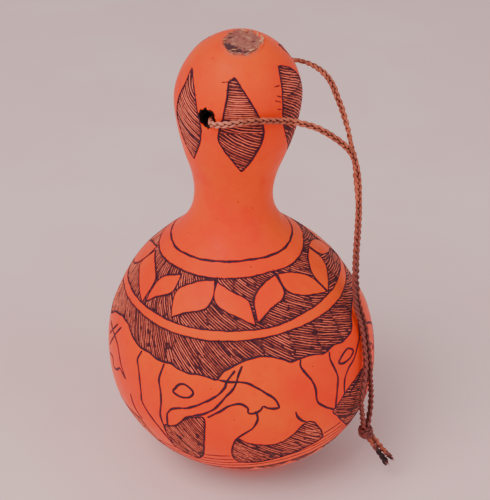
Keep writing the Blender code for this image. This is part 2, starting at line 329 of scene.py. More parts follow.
def smooth_curve(points: Array, steps: list[int], closed: bool = False) -> Array:
    """A Catmull-Rom curve through points.

    Args:
        points: the places that the curve goes through, one row each.
        steps: how many steps each span gets.
        closed: whether the curve comes back to its start.

    Returns:
        The places along the curve, one row each, ending on the last point.
    """
    if closed:
        ends = np.vstack([points[-1], points, points[0], points[1]])
    else:
        ends = np.vstack([2 * points[0] - points[1], points, 2 * points[-1] - points[-2]])
    curve = []
    for span, count in enumerate(steps):
        a, b, c, d = ends[span : span + 4]
        t = (np.arange(count) / count)[:, None]
        linear = (c - a) * t
        square = (2 * a - 5 * b + 4 * c - d) * t**2
        cube = (3 * b - a - 3 * c + d) * t**3
        curve.append(b + 0.5 * (linear + square + cube))
    curve.append(ends[len(steps) + 1][None])
    return np.vstack(curve)


def spans(path: Array) -> Array:
    """The length of each stretch between a path's places."""
    return np.linalg.norm(np.diff(path, axis=0), axis=1)


def distance_along(lengths: Array) -> Array:
    """How far along a path each place is, from the lengths of its stretches."""
    return np.concatenate([[0.0], np.cumsum(lengths)])


def resampled(curve: Array, lengths: Array, spacing: float) -> Array:
    """The same curve with evenly spaced places.

    Args:
        curve: places along the curve.
        lengths: the length of each stretch between them, in millimetres.
        spacing: the wanted spacing, in millimetres.

    Returns:
        The evenly spaced places.
    """
    along = distance_along(lengths)
    count = max(2, int(round(along[-1] / spacing)) + 1)
    wanted = np.linspace(0.0, along[-1], count)
    return np.column_stack([np.interp(wanted, along, column) for column in curve.T])


def smooth_steps(value: Array, low: float, high: float) -> Array:
    """A soft step from 0 at low to 1 at high."""
    share = np.clip((value - low) / (high - low), 0.0, 1.0)
    return share * share * (3 - 2 * share)


def unit(rows: Array) -> Array:
    """The same directions, each with a length of 1."""
    return rows / np.linalg.norm(rows, axis=-1, keepdims=True)


def unbroken_runs(kept: Array) -> list[tuple[int, int]]:
    """The start and the end of each unbroken run of true values."""
    edges = np.flatnonzero(np.diff(np.concatenate([[0], kept.astype(int), [0]])))
    return list(zip(edges[::2], edges[1::2]))


def tube_faces(first: int, rings: int, sides: int, tips: tuple = ()) -> list[tuple]:
    """The faces between rings of vertices that follow each other.

    Args:
        first: the first ring's first vertex.
        rings: how many rings there are.
        sides: vertices in each ring.
        tips: the two vertices that close the ends, if they are pointed.

    Returns:
        The vertices of each face.
    """
    last = first + (rings - 1) * sides
    around = [(side, (side + 1) % sides) for side in range(sides)]
    faces = []
    for low in range(first, last, sides):
        high = low + sides
        faces += [(low + here, low + after, high + after, high + here) for here, after in around]
    for here, after in around if tips else ():
        faces += [(tips[0], first + after, first + here), (last + here, last + after, tips[1])]
    return faces


def clear_selection() -> None:
    """Leaves nothing selected and no object in edit mode."""
    if bpy.context.object and bpy.context.object.mode != "OBJECT":
        bpy.ops.object.mode_set(mode="OBJECT")
    bpy.ops.object.select_all(action="DESELECT")


def select_only(item: Object) -> None:
    """Makes item the only selected object and the active one."""
    clear_selection()
    item.select_set(True)
    bpy.context.view_layer.objects.active = item


def edit_all(item: Object, operator: Callable[[], set]) -> None:
    """Runs a mesh operator on all of an object's mesh.

    Args:
        item: the object.
        operator: the operator, such as bpy.ops.mesh.flip_normals.
    """
    select_only(item)
    bpy.ops.object.mode_set(mode="EDIT")
    bpy.ops.mesh.select_all(action="SELECT")
    operator()
    bpy.ops.object.mode_set(mode="OBJECT")


def mesh_object(name: str, places: Array, faces: list) -> Object:
    """A new object from places in millimetres.

    Args:
        name: the object's name.
        places: one row for each vertex.
        faces: the vertices of each face.

    Returns:
        The linked object, shaded smooth.
    """
    data = bpy.data.meshes.new(name)
    data.from_pydata((np.asarray(places) * MM).tolist(), [], [list(map(int, face)) for face in faces])
    data.validate()
    data.shade_smooth()
    item = bpy.data.objects.new(name, data)
    bpy.context.scene.collection.objects.link(item)
    return item


def vertex_places(item: Object, unit_length: float = MM) -> Array:
    """The places of an object's vertices.

    Args:
        item: the object.
        unit_length: the length in metres that counts as 1.

    Returns:
        One row of x, y and z for each vertex.
    """
    places = np.empty(len(item.data.vertices) * 3)
    item.data.vertices.foreach_get("co", places)
    return places.reshape(-1, 3) / unit_length


def move_vertices(item: Object, places: Array) -> None:
    """Puts an object's vertices at places in millimetres."""
    item.data.vertices.foreach_set("co", (places * MM).ravel())
    item.data.update()


def write_attribute(item: Object, name: str, values: Array) -> None:
    """Stores one number for each vertex, for the piece's material to read."""
    layer = item.data.attributes.new(name, "FLOAT", "POINT")
    layer.data.foreach_set("value", np.asarray(values, np.float32))


def apply_modifiers(item: Object) -> None:
    """Applies every modifier of item, in order."""
    select_only(item)
    for modifier in list(item.modifiers):
        bpy.ops.object.modifier_apply(modifier=modifier.name)


def finish_piece(item: Object, material: Material) -> Object:
    """Dresses a piece and lets it ride on the part.

    Args:
        item: the finished piece.
        material: its material.

    Returns:
        The same piece.
    """
    item.data.materials.clear()
    item.data.materials.append(material)
    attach(item, "root")
    LOG.info("%s: %d faces", item.name, len(item.data.polygons))
    return item


# The gourd's form


@dataclass
class GourdForm:
    """The turned outline, its drifting centre line and its leaning crown."""

    # The crown leans forwards by some degrees about the pivot, from one height on to another
    crown_lean: float = 15.0
    lean_from: float = 127.0
    lean_to: float = 146.0
    pivot: tuple = (-1.0, 0.0, 129.5)
    # Fine rows a span, with height, radius and sideways place, and the outline's direction at each
    steps: int = 16
    rows: Array = field(init=False)
    tangents: Array = field(init=False)

    def __post_init__(self) -> None:
        """Draws the outline finely, with a place beyond each end to steer it, and measures its slope."""
        outline = np.array(OUTLINE)
        below = outline[0] - (0.0, 7.0, 0.0)
        above = outline[-1] + (outline[-1] - outline[-2]) * (0.3, 1.0, 0.0)
        ends = np.vstack([below, outline, above])
        self.rows = smooth_curve(ends, [self.steps] * (len(ends) - 1))[self.steps : -self.steps]
        self.tangents = unit(np.gradient(self.rows[:, :2], axis=0))

    def radius(self, height: Array) -> Array:
        """The skin's radius at a height."""
        return np.interp(height, self.rows[:, 0], self.rows[:, 1])

    def centre(self, height: Array) -> Array:
        """The centre line's sideways place at a height."""
        return np.interp(height, self.rows[:, 0], self.rows[:, 2])

    def across(self, height: Array) -> Array:
        """Millimetres round the skin for one degree."""
        return np.maximum(self.radius(height), 1.0) * math.pi / 180

    def stretch(self, height: Array) -> Array:
        """Millimetres along the skin for one millimetre of height."""
        rise = np.maximum(self.tangents[:, 0], 0.12)
        return np.interp(height, self.rows[:, 0], 1 / rise)

    def leaned(self, places: Array) -> Array:
        """Turns places forwards about the middle of the head, the more the nearer they are to the crown.

        Args:
            places: one row of x, y and z for each place, in millimetres.

        Returns:
            The turned places.
        """
        share = smooth_steps(places[:, 2], self.lean_from, self.lean_to)
        turn = math.radians(self.crown_lean) * share
        arm = places - np.array(self.pivot)
        turned_arm = arm.copy()
        turned_arm[:, 1] = arm[:, 1] * np.cos(turn) - arm[:, 2] * np.sin(turn)
        turned_arm[:, 2] = arm[:, 1] * np.sin(turn) + arm[:, 2] * np.cos(turn)
        return turned_arm + np.array(self.pivot)

    def place(self, azimuth: Array, height: Array, lift: float | Array = 0.0) -> Array:
        """Places on the skin.

        Args:
            azimuth, height: places on the skin.
            lift: how far outside the skin, in millimetres.

        Returns:
            One row of x, y and z for each place, in millimetres.
        """
        azimuth = np.radians(np.asarray(azimuth, float))
        height = np.asarray(height, float)
        rise = np.interp(height, self.rows[:, 0], self.tangents[:, 0])
        run = np.interp(height, self.rows[:, 0], self.tangents[:, 1])
        radius = self.radius(height) + lift * rise
        level = height - lift * run
        x = self.centre(height) + radius * np.sin(azimuth)
        y = -radius * np.cos(azimuth)
        return self.leaned(np.column_stack([x, y, level]))

    def spaced_heights(self) -> Array:
        """The heights of the skin's rows.

        Returns:
            Heights from the foot to the crown, spaced by the table of row spacings.
        """
        along = distance_along(spans(self.rows[:, :2]))
        heights = [0.0]
        for top, spacing in ROW_SPACING:
            top = min(top, self.rows[-1, 0])
            start = np.interp(heights[-1], self.rows[:, 0], along)
            end = np.interp(top, self.rows[:, 0], along)
            count = max(1, int(round((end - start) / spacing)))
            wanted = np.linspace(start, end, count + 1)[1:]
            heights.extend(np.interp(wanted, along, self.rows[:, 0]))
        return np.array(heights)


# The carving's layout


def ring_height(line: tuple, azimuth: Array) -> Array:
    """The height of a line that goes all round, at each azimuth."""
    points = np.array(line, float)
    return np.interp(np.asarray(azimuth, float), points[:, 0], points[:, 1], period=360.0)


def shape_outline(sides: tuple, turn: float = 0.0, steps: int = 5) -> Array:
    """A closed shape from its curved sides, which meet in sharp tips, turned round the gourd."""
    outline = [smooth_curve(np.array(side, float), [steps] * (len(side) - 1))[:-1] for side in sides]
    return np.vstack(outline) + (turn, 0.0)


def round_outline(corners: tuple, turn: float = 0.0, steps: int = 5) -> Array:
    """A closed shape with a smooth edge through the corners."""
    points = np.array(corners, float)
    return smooth_curve(points, [steps] * len(points), closed=True)[:-1] + (turn, 0.0)


class CarvedShape:
    """One closed shape on the skin, with the distance to its edge."""

    REACH = 4.0
    BATCH = 4000

    def __init__(self, outline: Array, form: GourdForm, slant: float = 0.0) -> None:
        """Keeps the outline, its middle and its box.

        Args:
            outline: azimuth and height of each place on its edge.
            form: the gourd's form.
            slant: the fall of its strokes to the right, in degrees.
        """
        self.outline = outline
        self.form = form
        self.slant = slant
        self.middle = outline.mean(axis=0)
        margin = np.array([self.REACH / form.across(outline[:, 1].mean()), self.REACH])
        self.low = outline.min(axis=0) - margin
        self.high = outline.max(axis=0) + margin

    def distance(self, azimuth: Array, height: Array) -> Array:
        """How far inside the shape each place is.

        Args:
            azimuth, height: places on the skin.

        Returns:
            Millimetres to the edge, positive inside, and -REACH far from the shape.
        """
        near = (azimuth - self.middle[0] + 180.0) % 360.0 - 180.0 + self.middle[0]
        result = np.full(len(near), -self.REACH)
        close = (near > self.low[0]) & (near < self.high[0])
        close &= (height > self.low[1]) & (height < self.high[1])
        picked = np.nonzero(close)[0]
        for start in range(0, len(picked), self.BATCH):
            part = picked[start : start + self.BATCH]
            result[part] = self.edge_distance(near[part], height[part])
        return result

    def edge_distance(self, azimuth: Array, height: Array) -> Array:
        """The signed distance of one batch of places to the outline.

        Args:
            azimuth, height: places on the skin.

        Returns:
            Millimetres to the edge, positive inside.
        """
        scale_x = self.form.across(height)[:, None]
        scale_y = self.form.stretch(height)[:, None]
        x = (self.outline[:, 0][None] - azimuth[:, None]) * scale_x
        y = (self.outline[:, 1][None] - height[:, None]) * scale_y
        next_x, next_y = np.roll(x, -1, axis=1), np.roll(y, -1, axis=1)
        edge_x, edge_y = next_x - x, next_y - y
        share = -(x * edge_x + y * edge_y) / np.maximum(edge_x**2 + edge_y**2, 1e-9)
        share = np.clip(share, 0.0, 1.0)
        distance = np.hypot(x + share * edge_x, y + share * edge_y).min(axis=1)
        crossing = (y > 0) != (next_y > 0)
        with np.errstate(divide="ignore", invalid="ignore"):
            where = x - y * edge_x / edge_y
        inside = (crossing & (where > 0)).sum(axis=1) % 2 == 1
        return np.where(inside, distance, -distance)


class CarvedGround:
    """Where the rind is cut away and stained, as a distance in millimetres: positive on the cut ground."""

    REACH = 3.0
    # The ground under the border: gaps above it and above the teeth, their softness, and its lowest height
    BORDER_GAP = 0.5
    TOOTH_GAP = 0.9
    TOOTH_SOFTNESS = 0.6
    LOWEST = 3.0

    def __init__(self, form: GourdForm) -> None:
        """Lays out every shape round the gourd.

        Args:
            form: the gourd's form.
        """
        self.form = form
        leaves = (LEAF_LEFT, LEAF_MIDDLE, LEAF_RIGHT)
        self.leaves = [CarvedShape(shape_outline(leaf), form) for leaf in leaves]
        self.leaves += [CarvedShape(shape_outline(LEAF_MIDDLE, turn), form) for turn in LEAF_TURNS]
        self.petals = [CarvedShape(shape_outline(petal), form) for petal in PETALS]
        for turn in PETAL_TURNS:
            self.petals += [CarvedShape(shape_outline(PETALS[which], turn), form) for which in PETAL_PAIR]
        self.gaps = []
        for corners, slant, turns in GAPS:
            self.gaps += [CarvedShape(round_outline(corners, turn), form, slant) for turn in turns]

    def leaf_distance(self, azimuth: Array, height: Array) -> Array:
        """The leaves' ground."""
        return np.max([leaf.distance(azimuth, height) for leaf in self.leaves], axis=0)

    def gap_distance(self, azimuth: Array, height: Array) -> Array:
        """The hatched gaps between the animals' legs and under their chins."""
        return np.max([gap.distance(azimuth, height) for gap in self.gaps], axis=0)

    def shoulder_distance(self, azimuth: Array, height: Array) -> Array:
        """The ground between the shoulder's two rings, round the petals.

        Args:
            azimuth, height: places on the skin.

        Returns:
            Millimetres to the ground's edge, positive on the ground.
        """
        stretch = self.form.stretch(height)
        above = (ring_height(SHOULDER_TOP, azimuth) - height) * stretch
        below = (height - ring_height(SHOULDER_FOOT, azimuth)) * stretch
        petals = np.max([petal.distance(azimuth, height) for petal in self.petals], axis=0)
        return np.minimum(np.minimum(above, below), -petals)

    def belly_distance(self, azimuth: Array, height: Array) -> Array:
        """The ground between the lower ring and the animals' backs.

        Args:
            azimuth, height: places on the skin.

        Returns:
            Millimetres to the ground's edge, positive on the ground.
        """
        stretch = self.form.stretch(height)
        above = (ring_height(BELLY_TOP, azimuth) - height) * stretch
        rise = ring_height(BACKS, azimuth + 0.5) - ring_height(BACKS, azimuth - 0.5)
        slope = rise / self.form.across(height)
        below = (height - ring_height(BACKS, azimuth)) * stretch / np.sqrt(1 + slope**2)
        return np.minimum(above, below)

    def border_height(self, azimuth: Array, middle: float) -> Array:
        """The height of a border line, which rises towards +X."""
        across = self.form.centre(middle) + self.form.radius(middle) * np.sin(np.radians(azimuth))
        return middle + BORDER_RISE * across

    def foot_distance(self, azimuth: Array, height: Array) -> Array:
        """The ground below the border, round its row of teeth.

        Args:
            azimuth, height: places on the skin.

        Returns:
            Millimetres to the ground's edge, positive on the ground.
        """
        top = self.border_height(azimuth, BORDER_LINES[-1][0])
        stretch = self.form.stretch(height)
        below = (top - self.BORDER_GAP - height) * stretch
        turn = (azimuth * BORDER_TEETH / 360.0 + 0.2) % 1.0 - 0.5
        reach = (top - self.TOOTH_GAP - height) / TOOTH_HEIGHT
        half_width = np.where(reach < 1.0, TOOTH_SHARE * np.clip(reach, 0.0, 1.0), -1.0)
        tooth = (half_width - np.abs(turn)) * 360.0 / BORDER_TEETH * self.form.across(height)
        lowest = (height - self.LOWEST) * stretch
        return np.minimum(np.minimum(below, -tooth * self.TOOTH_SOFTNESS), lowest)

    def distance(self, azimuth: Array, height: Array) -> Array:
        """The whole carved ground.

        Args:
            azimuth, height: places on the skin.

        Returns:
            Millimetres to the ground's edge, positive on the ground, up to REACH either way.
        """
        parts = (
            self.leaf_distance, self.shoulder_distance, self.belly_distance, self.gap_distance,
            self.foot_distance,
        )
        nearest = np.max([part(azimuth, height) for part in parts], axis=0)
        return np.clip(nearest, -self.REACH, self.REACH)


# Long thin shapes that lie on the skin


@dataclass
class SkinStrips:
    """Gathers thin closed strips that follow the skin, and makes one mesh of them."""

    CORNERS = 4
    form: GourdForm
    places: list[Array] = field(default_factory=list)
    faces: list[tuple] = field(default_factory=list)
    tones: list[Array] = field(default_factory=list)
    crests: list[Array] = field(default_factory=list)
    count: int = 0

    def add(self, line: Array, widths: Array, base: float, top: float, tone: float, crown: float) -> None:
        """Adds one strip with a flat-topped section and pointed ends.

        Args:
            line: azimuth and height of each place along it.
            widths: its width at the base at each place, in millimetres.
            base: how far its foot lies outside the skin (negative inside).
            top: how far its top lies outside the skin.
            tone: a number for its material.
            crown: the top's width as a share of the base's.
        """
        middle = self.form.place(line[:, 0], line[:, 1])
        outer = self.form.place(line[:, 0], line[:, 1], 1.0)
        normal = outer - middle
        side = np.cross(np.gradient(middle, axis=0), normal)
        side /= np.maximum(np.linalg.norm(side, axis=1), 1e-9)[:, None]
        half = side * widths[:, None] / 2
        foot, head = middle + normal * base, middle + normal * top
        rings = np.stack([foot - half, head - half * crown, head + half * crown, foot + half], axis=1)[1:-1]
        start = self.count
        end = start + 1 + self.CORNERS * len(rings)
        self.places += [foot[:1], rings.reshape(-1, 3), foot[-1:]]
        self.faces += tube_faces(start + 1, len(rings), self.CORNERS, tips=(start, end))
        self.count = end + 1
        self.tones.append(np.full(self.count - start, tone))
        self.crests.append(np.concatenate([[0.0], np.tile((0.0, 1.0, 1.0, 0.0), len(rings)), [0.0]]))

    def piece(self, name: str) -> Object:
        """Makes one object of every strip gathered.

        Args:
            name: the object's name.

        Returns:
            The object, with its tone and crest attributes.
        """
        item = mesh_object(name, np.vstack(self.places), self.faces)
        write_attribute(item, "tone", np.concatenate(self.tones))
        write_attribute(item, "crest", np.concatenate(self.crests))
        return item


@dataclass(frozen=True)
class HatchPatch:
    """One patch of parallel strokes, which fall to the right by the slant and flatten by the bow.

    The half width is in degrees, and the reach is half the length of its lines in millimetres.
    """

    middle: tuple
    half_width: float
    reach: float
    slant: float
    bow: float = 0.0
    height_from: float = 0.0
    height_to: float = 200.0

    def turned(self, turn: float) -> "HatchPatch":
        """The same patch, moved round the gourd by some degrees."""
        return replace(self, middle=(self.middle[0] + turn, self.middle[1]))


LEAF_LEFT_PATCHES = (HatchPatch((-55.0, 128.0), 30.0, 26.0, 32.0, bow=0.008),)
LEAF_MIDDLE_PATCHES = (
    HatchPatch((2.0, 137.0), 24.0, 12.0, 3.0, height_from=129.6),
    HatchPatch((4.0, 126.0), 26.0, 12.0, 12.0, bow=0.02, height_from=125.0, height_to=129.8),
    HatchPatch((4.0, 119.5), 26.0, 16.0, 28.0, bow=0.028, height_to=125.4),
)
LEAF_RIGHT_PATCHES = (
    HatchPatch((66.0, 137.5), 30.0, 14.0, 38.0, height_from=135.0),
    HatchPatch((66.0, 129.5), 30.0, 14.0, 34.0, height_from=122.0, height_to=135.3),
    HatchPatch((68.0, 119.0), 30.0, 12.0, 42.0, height_to=122.3),
)


@dataclass(frozen=True)
class StrokeHabit:
    """How the knife hatches one kind of ground, and the share of slivers that broke away."""

    pitch: float
    shortest: float
    longest: float
    missing: float
    thinnest: float
    widest: float


LEAF_HABIT = StrokeHabit(0.92, shortest=13.0, longest=36.0, missing=0.01, thinnest=0.36, widest=0.54)
GROUND_HABIT = StrokeHabit(0.76, shortest=4.0, longest=18.0, missing=0.07, thinnest=0.22, widest=0.42)


class Hatching:
    """The slivers of rind left standing between the knife's strokes."""

    # Spacing of the places along a line, how far outside the ground they may be, and a sliver's fewest
    STEP = 0.45
    MARGIN = -0.15
    FEWEST = 4
    # A sliver's foot and deepest top below the skin, and its top's width as a share of its foot's
    FOOT = -0.26
    DEEPEST_TOP = -0.09
    CROWN = 0.66

    def __init__(self, form: GourdForm, ground: Callable[[Array, Array], Array], habit: StrokeHabit,
                 seed: int) -> None:
        """Starts with no slivers.

        Args:
            form: the gourd's form.
            ground: the distance function of the ground that is hatched.
            habit: how the strokes are cut.
            seed: the seed of its draws.
        """
        self.form = form
        self.ground = ground
        self.habit = habit
        self.draws = np.random.default_rng(seed)
        self.strips = SkinStrips(form)

    def fill(self, patch: HatchPatch) -> None:
        """Fills a patch with broken parallel slivers, kept inside the ground.

        Args:
            patch: the patch.
        """
        azimuth, height = patch.middle
        scale_x, scale_y = float(self.form.across(height)), float(self.form.stretch(height))
        slant = math.radians(patch.slant)
        down = np.array([math.cos(slant), -math.sin(slant)])
        over = np.array([math.sin(slant), math.cos(slant)])
        lines = int(patch.reach / self.habit.pitch)
        for line in range(-lines, lines + 1):
            offset = (line + self.draws.uniform(-0.12, 0.12)) * self.habit.pitch
            tilt = math.radians(self.draws.normal(0.0, 1.0))
            bend = patch.bow / 2 + self.draws.normal(0.0, 0.003)
            t = np.arange(-patch.reach, patch.reach, self.STEP)
            across = offset + t * math.tan(tilt) + bend * t**2
            across += 0.07 * np.sin(t * self.draws.uniform(0.5, 1.3) + self.draws.uniform(0, 6.3))
            spots = t[:, None] * down + across[:, None] * over
            places = np.column_stack([azimuth + spots[:, 0] / scale_x, height + spots[:, 1] / scale_y])
            limit = patch.half_width * self.draws.uniform(0.9, 1.12, 2)
            within = (places[:, 0] > azimuth - limit[0]) & (places[:, 0] < azimuth + limit[1])
            within &= (places[:, 1] > patch.height_from) & (places[:, 1] < patch.height_to)
            self.break_up(places, within & (self.ground(places[:, 0], places[:, 1]) > self.MARGIN))

    def break_up(self, places: Array, kept: Array) -> None:
        """Cuts the kept stretches of one line into strokes of uneven length.

        Args:
            places: azimuth and height of each place on the line.
            kept: whether each place is on the ground.
        """
        for start, end in unbroken_runs(kept):
            spot = start
            while end - spot >= self.FEWEST:
                length = self.draws.uniform(self.habit.shortest, self.habit.longest)
                stop = min(end, spot + int(length / self.STEP))
                if self.draws.random() > self.habit.missing and stop - spot >= self.FEWEST:
                    self.sliver(places[spot:stop])
                spot = stop + int(self.draws.uniform(0, 2.4))

    def sliver(self, line: Array) -> None:
        """Adds one stroke-shaped sliver, thinned towards both ends and given half the line's places.

        Args:
            line: azimuth and height of each place on it.
        """
        count = len(line)
        if count > 2 * self.FEWEST:
            inner = np.linspace(1, count - 2, max(self.FEWEST, count // 2)).astype(int)
            line = line[np.unique(np.concatenate([[0], inner, [count - 1]]))]
        share = np.linspace(0.0, 1.0, len(line))
        swell = np.sin(np.pi * np.clip(share, 0.06, 0.94)) ** 0.45
        width = self.draws.uniform(self.habit.thinnest, self.habit.widest) * swell
        width *= self.draws.uniform(0.82, 1.18, len(line))
        tone = float(np.clip(self.draws.normal(0.6, 0.25), 0.0, 1.0))
        self.strips.add(line, width, self.FOOT, self.draws.uniform(self.DEEPEST_TOP, 0.0), tone, self.CROWN)


class LineDrawing:
    """The knife's dark outlines."""

    # A line's foot and top from the skin, and its top's width as a share of its foot's
    LINE_SECTION = (-0.22, 0.05, 0.85)
    TICK_SECTION = (-0.15, 0.045, 0.8)
    WOBBLE = 0.05
    TICK_WIDTH = 0.34

    def __init__(self, form: GourdForm, seed: int) -> None:
        """Starts an empty drawing.

        Args:
            form: the gourd's form.
            seed: the seed of its draws.
        """
        self.form = form
        self.draws = np.random.default_rng(seed)
        self.strips = SkinStrips(form)

    def line(self, points: Array, width: float, smooth: bool = True, tone: float = 0.5,
             spacing: float = 0.6) -> None:
        """Cuts one line through the points.

        Args:
            points: azimuth and height of each place.
            width: the line's width, in millimetres.
            smooth: whether it curves through the points or runs straight between them.
            tone: a number for its material, from dark 0 to red-brown 1.
            spacing: spacing of its sections.
        """
        points = np.asarray(points, float)
        curve = smooth_curve(points, [6] * (len(points) - 1)) if smooth else points
        middle = (curve[1:] + curve[:-1]) / 2
        delta = np.diff(curve, axis=0)
        round_skin = delta[:, 0] * self.form.across(middle[:, 1])
        curve = resampled(curve, np.hypot(round_skin, delta[:, 1] * self.form.stretch(middle[:, 1])), spacing)
        if len(curve) < 4:
            curve = resampled(curve, np.ones(len(curve) - 1), (len(curve) - 1) / 4)
        along = np.arange(len(curve))
        quick, slow, beat = (self.draws.uniform(0, 6) for _ in range(3))
        wobble = self.WOBBLE * np.sin(along * 0.9 + quick) + self.WOBBLE * np.sin(along * 0.37 + slow)
        curve[:, 1] += wobble / self.form.stretch(curve[:, 1])
        swell = 1 + 0.16 * np.sin(along * 0.55 + beat) + self.draws.normal(0, 0.07, len(curve))
        swell[:2] *= (0.35, 0.75)
        swell[-2:] *= (0.75, 0.35)
        base, top, crown = self.LINE_SECTION
        self.strips.add(curve, width * swell, base, top, tone, crown)

    def loop(self, outline: Array, width: float, tone: float = 0.5) -> None:
        """Cuts a closed line, whose ends cross a little."""
        closed = np.vstack([outline, outline[:2]])
        self.line(closed, width, smooth=False, tone=tone, spacing=0.42)

    def ticks(self, line: Array, count: int, slant: float, length: float, tone: float = 0.4) -> None:
        """Adds short slips of the knife that cross a line.

        Args:
            line: azimuth and height along the line that they cross.
            count: how many there are.
            slant: their fall towards the right, in degrees.
            length: their mean length, in millimetres.
            tone: a number for their material.
        """
        base, top, crown = self.TICK_SECTION
        for _ in range(count):
            spot = self.draws.uniform(0, len(line) - 1.001)
            whole, part = int(spot), spot % 1
            azimuth, height = line[whole] * (1 - part) + line[whole + 1] * part
            angle = math.radians(slant + self.draws.normal(0, 9))
            size = length * self.draws.uniform(0.5, 1.5)
            start, end = -size * self.draws.uniform(0.3, 0.7), size * 0.5
            t = np.linspace(start, end, 5)
            places = np.column_stack([
                azimuth + t * math.cos(angle) / self.form.across(height),
                height - t * math.sin(angle) / self.form.stretch(height),
            ])
            widths = self.TICK_WIDTH * np.array([0.3, 0.9, 1.0, 0.8, 0.3]) * self.draws.uniform(0.7, 1.2)
            self.strips.add(places, widths, base, top, tone, crown)


# Materials


class NodeSheet:
    """One material's node tree, with short ways to add its nodes."""

    def __init__(self, name: str) -> None:
        """Starts a material with its shader.

        Args:
            name: the material's name.
        """
        self.material = bpy.data.materials.new(name)
        self.material.use_nodes = True
        self.tree = self.material.node_tree
        self.shader = self.tree.nodes["Principled BSDF"]
        self.coordinates = self.tree.nodes.new("ShaderNodeTexCoord").outputs["Object"]

    def set(self, name: str, value: float | tuple) -> None:
        """Sets a constant on the shader's own socket."""
        self.shader.inputs[name].default_value = value

    def wire(self, source: Feed, target: Socket) -> None:
        """Links a socket to an input, or sets the input if it is given a plain value.

        Args:
            source: the socket or the value.
            target: the input.
        """
        if isinstance(source, Socket):
            self.tree.links.new(source, target)
        else:
            target.default_value = source

    def attribute(self, name: str) -> Socket:
        """A number stored on the piece's vertices.

        Args:
            name: the attribute's name.

        Returns:
            The socket that gives it.
        """
        node = self.tree.nodes.new("ShaderNodeAttribute")
        node.attribute_name = name
        return node.outputs["Fac"]

    def noise(self, scale: float, detail: float = 3.0, roughness: float = 0.55) -> Socket:
        """Noise on object coordinates.

        Args:
            scale: cycles a metre.
            detail: how many finer layers it has.
            roughness: how strong they are.

        Returns:
            The socket that gives it.
        """
        node = self.tree.nodes.new("ShaderNodeTexNoise")
        for name, value in (("Scale", scale), ("Detail", detail), ("Roughness", roughness)):
            node.inputs[name].default_value = value
        self.tree.links.new(self.coordinates, node.inputs["Vector"])
        return node.outputs["Fac"]

    def specks(self, scale: float, size: float) -> Socket:
        """A mask of scattered round specks: 1 on a speck.

        Args:
            scale: cells a metre, each with one speck.
            size: a speck's radius as a share of a cell.

        Returns:
            The socket that gives it.
        """
        node = self.tree.nodes.new("ShaderNodeTexVoronoi")
        node.inputs["Scale"].default_value = scale
        self.tree.links.new(self.coordinates, node.inputs["Vector"])
        return self.step(node.outputs["Distance"], size, size * 0.55)

    def step(self, value: Feed, low: float, high: float, first: float = 0.0, last: float = 1.0) -> Socket:
        """A soft step of value from low to high.

        Args:
            value: what is stepped.
            low: where the step starts, which may be the greater of the two.
            high: where it ends.
            first: its result at low.
            last: its result at high.

        Returns:
            The socket that gives it.
        """
        node = self.tree.nodes.new("ShaderNodeMapRange")
        node.interpolation_type = "SMOOTHSTEP"
        self.wire(value, node.inputs["Value"])
        settings = ((low, first), (high, last)) if low < high else ((high, last), (low, first))
        for end, (limit, result) in zip(("Min", "Max"), settings):
            node.inputs[f"From {end}"].default_value = limit
            node.inputs[f"To {end}"].default_value = result
        return node.outputs["Result"]

    def math(self, operation: str, first: Feed, second: Feed = 0.0) -> Socket:
        """One arithmetic step.

        Args:
            operation: its name, such as ADD.
            first: the first value.
            second: the second one, if it takes two.

        Returns:
            The socket that gives the result.
        """
        node = self.tree.nodes.new("ShaderNodeMath")
        node.operation = operation
        self.wire(first, node.inputs[0])
        self.wire(second, node.inputs[1])
        return node.outputs[0]

    def mix(self, share: Feed, first: Feed, second: Feed) -> Socket:
        """A blend of two colours.

        Args:
            share: how much of the second there is.
            first: the first colour.
            second: the second colour.

        Returns:
            The socket that gives the blend.
        """
        node = self.tree.nodes.new("ShaderNodeMix")
        node.data_type = "RGBA"
        for number, source in zip((0, 6, 7), (share, first, second)):
            self.wire(source, node.inputs[number])
        return node.outputs[2]

    def patches(self, colour: Feed, other: Feed, noise: Socket, low: float, high: float,
                most: float = 1.0) -> Socket:
        """A colour with patches of another where a noise passes from low to high."""
        return self.mix(self.step(noise, low, high, 0.0, most), colour, other)

    def ragged(self, value: Feed, noise: Socket, down: float, up: float, low: float = 0.3,
               high: float = 0.7) -> Socket:
        """A value with down added to it where a noise is low, and up where the noise is high."""
        return self.math("ADD", value, self.step(noise, low, high, down, up))

    def bump(self, height: Feed, distance: float, strength: float, under: Socket | None = None) -> Socket:
        """A bump of a height field.

        Args:
            height: the height field.
            distance: its depth, in millimetres.
            strength: how much of it shows.
            under: the normal of a bump that it lies on.

        Returns:
            The socket that gives the normal.
        """
        node = self.tree.nodes.new("ShaderNodeBump")
        node.inputs["Strength"].default_value = strength
        node.inputs["Distance"].default_value = distance * MM
        self.wire(height, node.inputs["Height"])
        if under is not None:
            self.tree.links.new(under, node.inputs["Normal"])
        return node.outputs["Normal"]

    def dress(self, colour: Feed, roughness: Feed, normal: Socket) -> Material:
        """Links what the shader shows.

        Args:
            colour: its colour.
            roughness: its roughness.
            normal: its normal.

        Returns:
            The finished material.
        """
        self.wire(colour, self.shader.inputs["Base Color"])
        self.wire(roughness, self.shader.inputs["Roughness"])
        self.tree.links.new(normal, self.shader.inputs["Normal"])
        return self.material


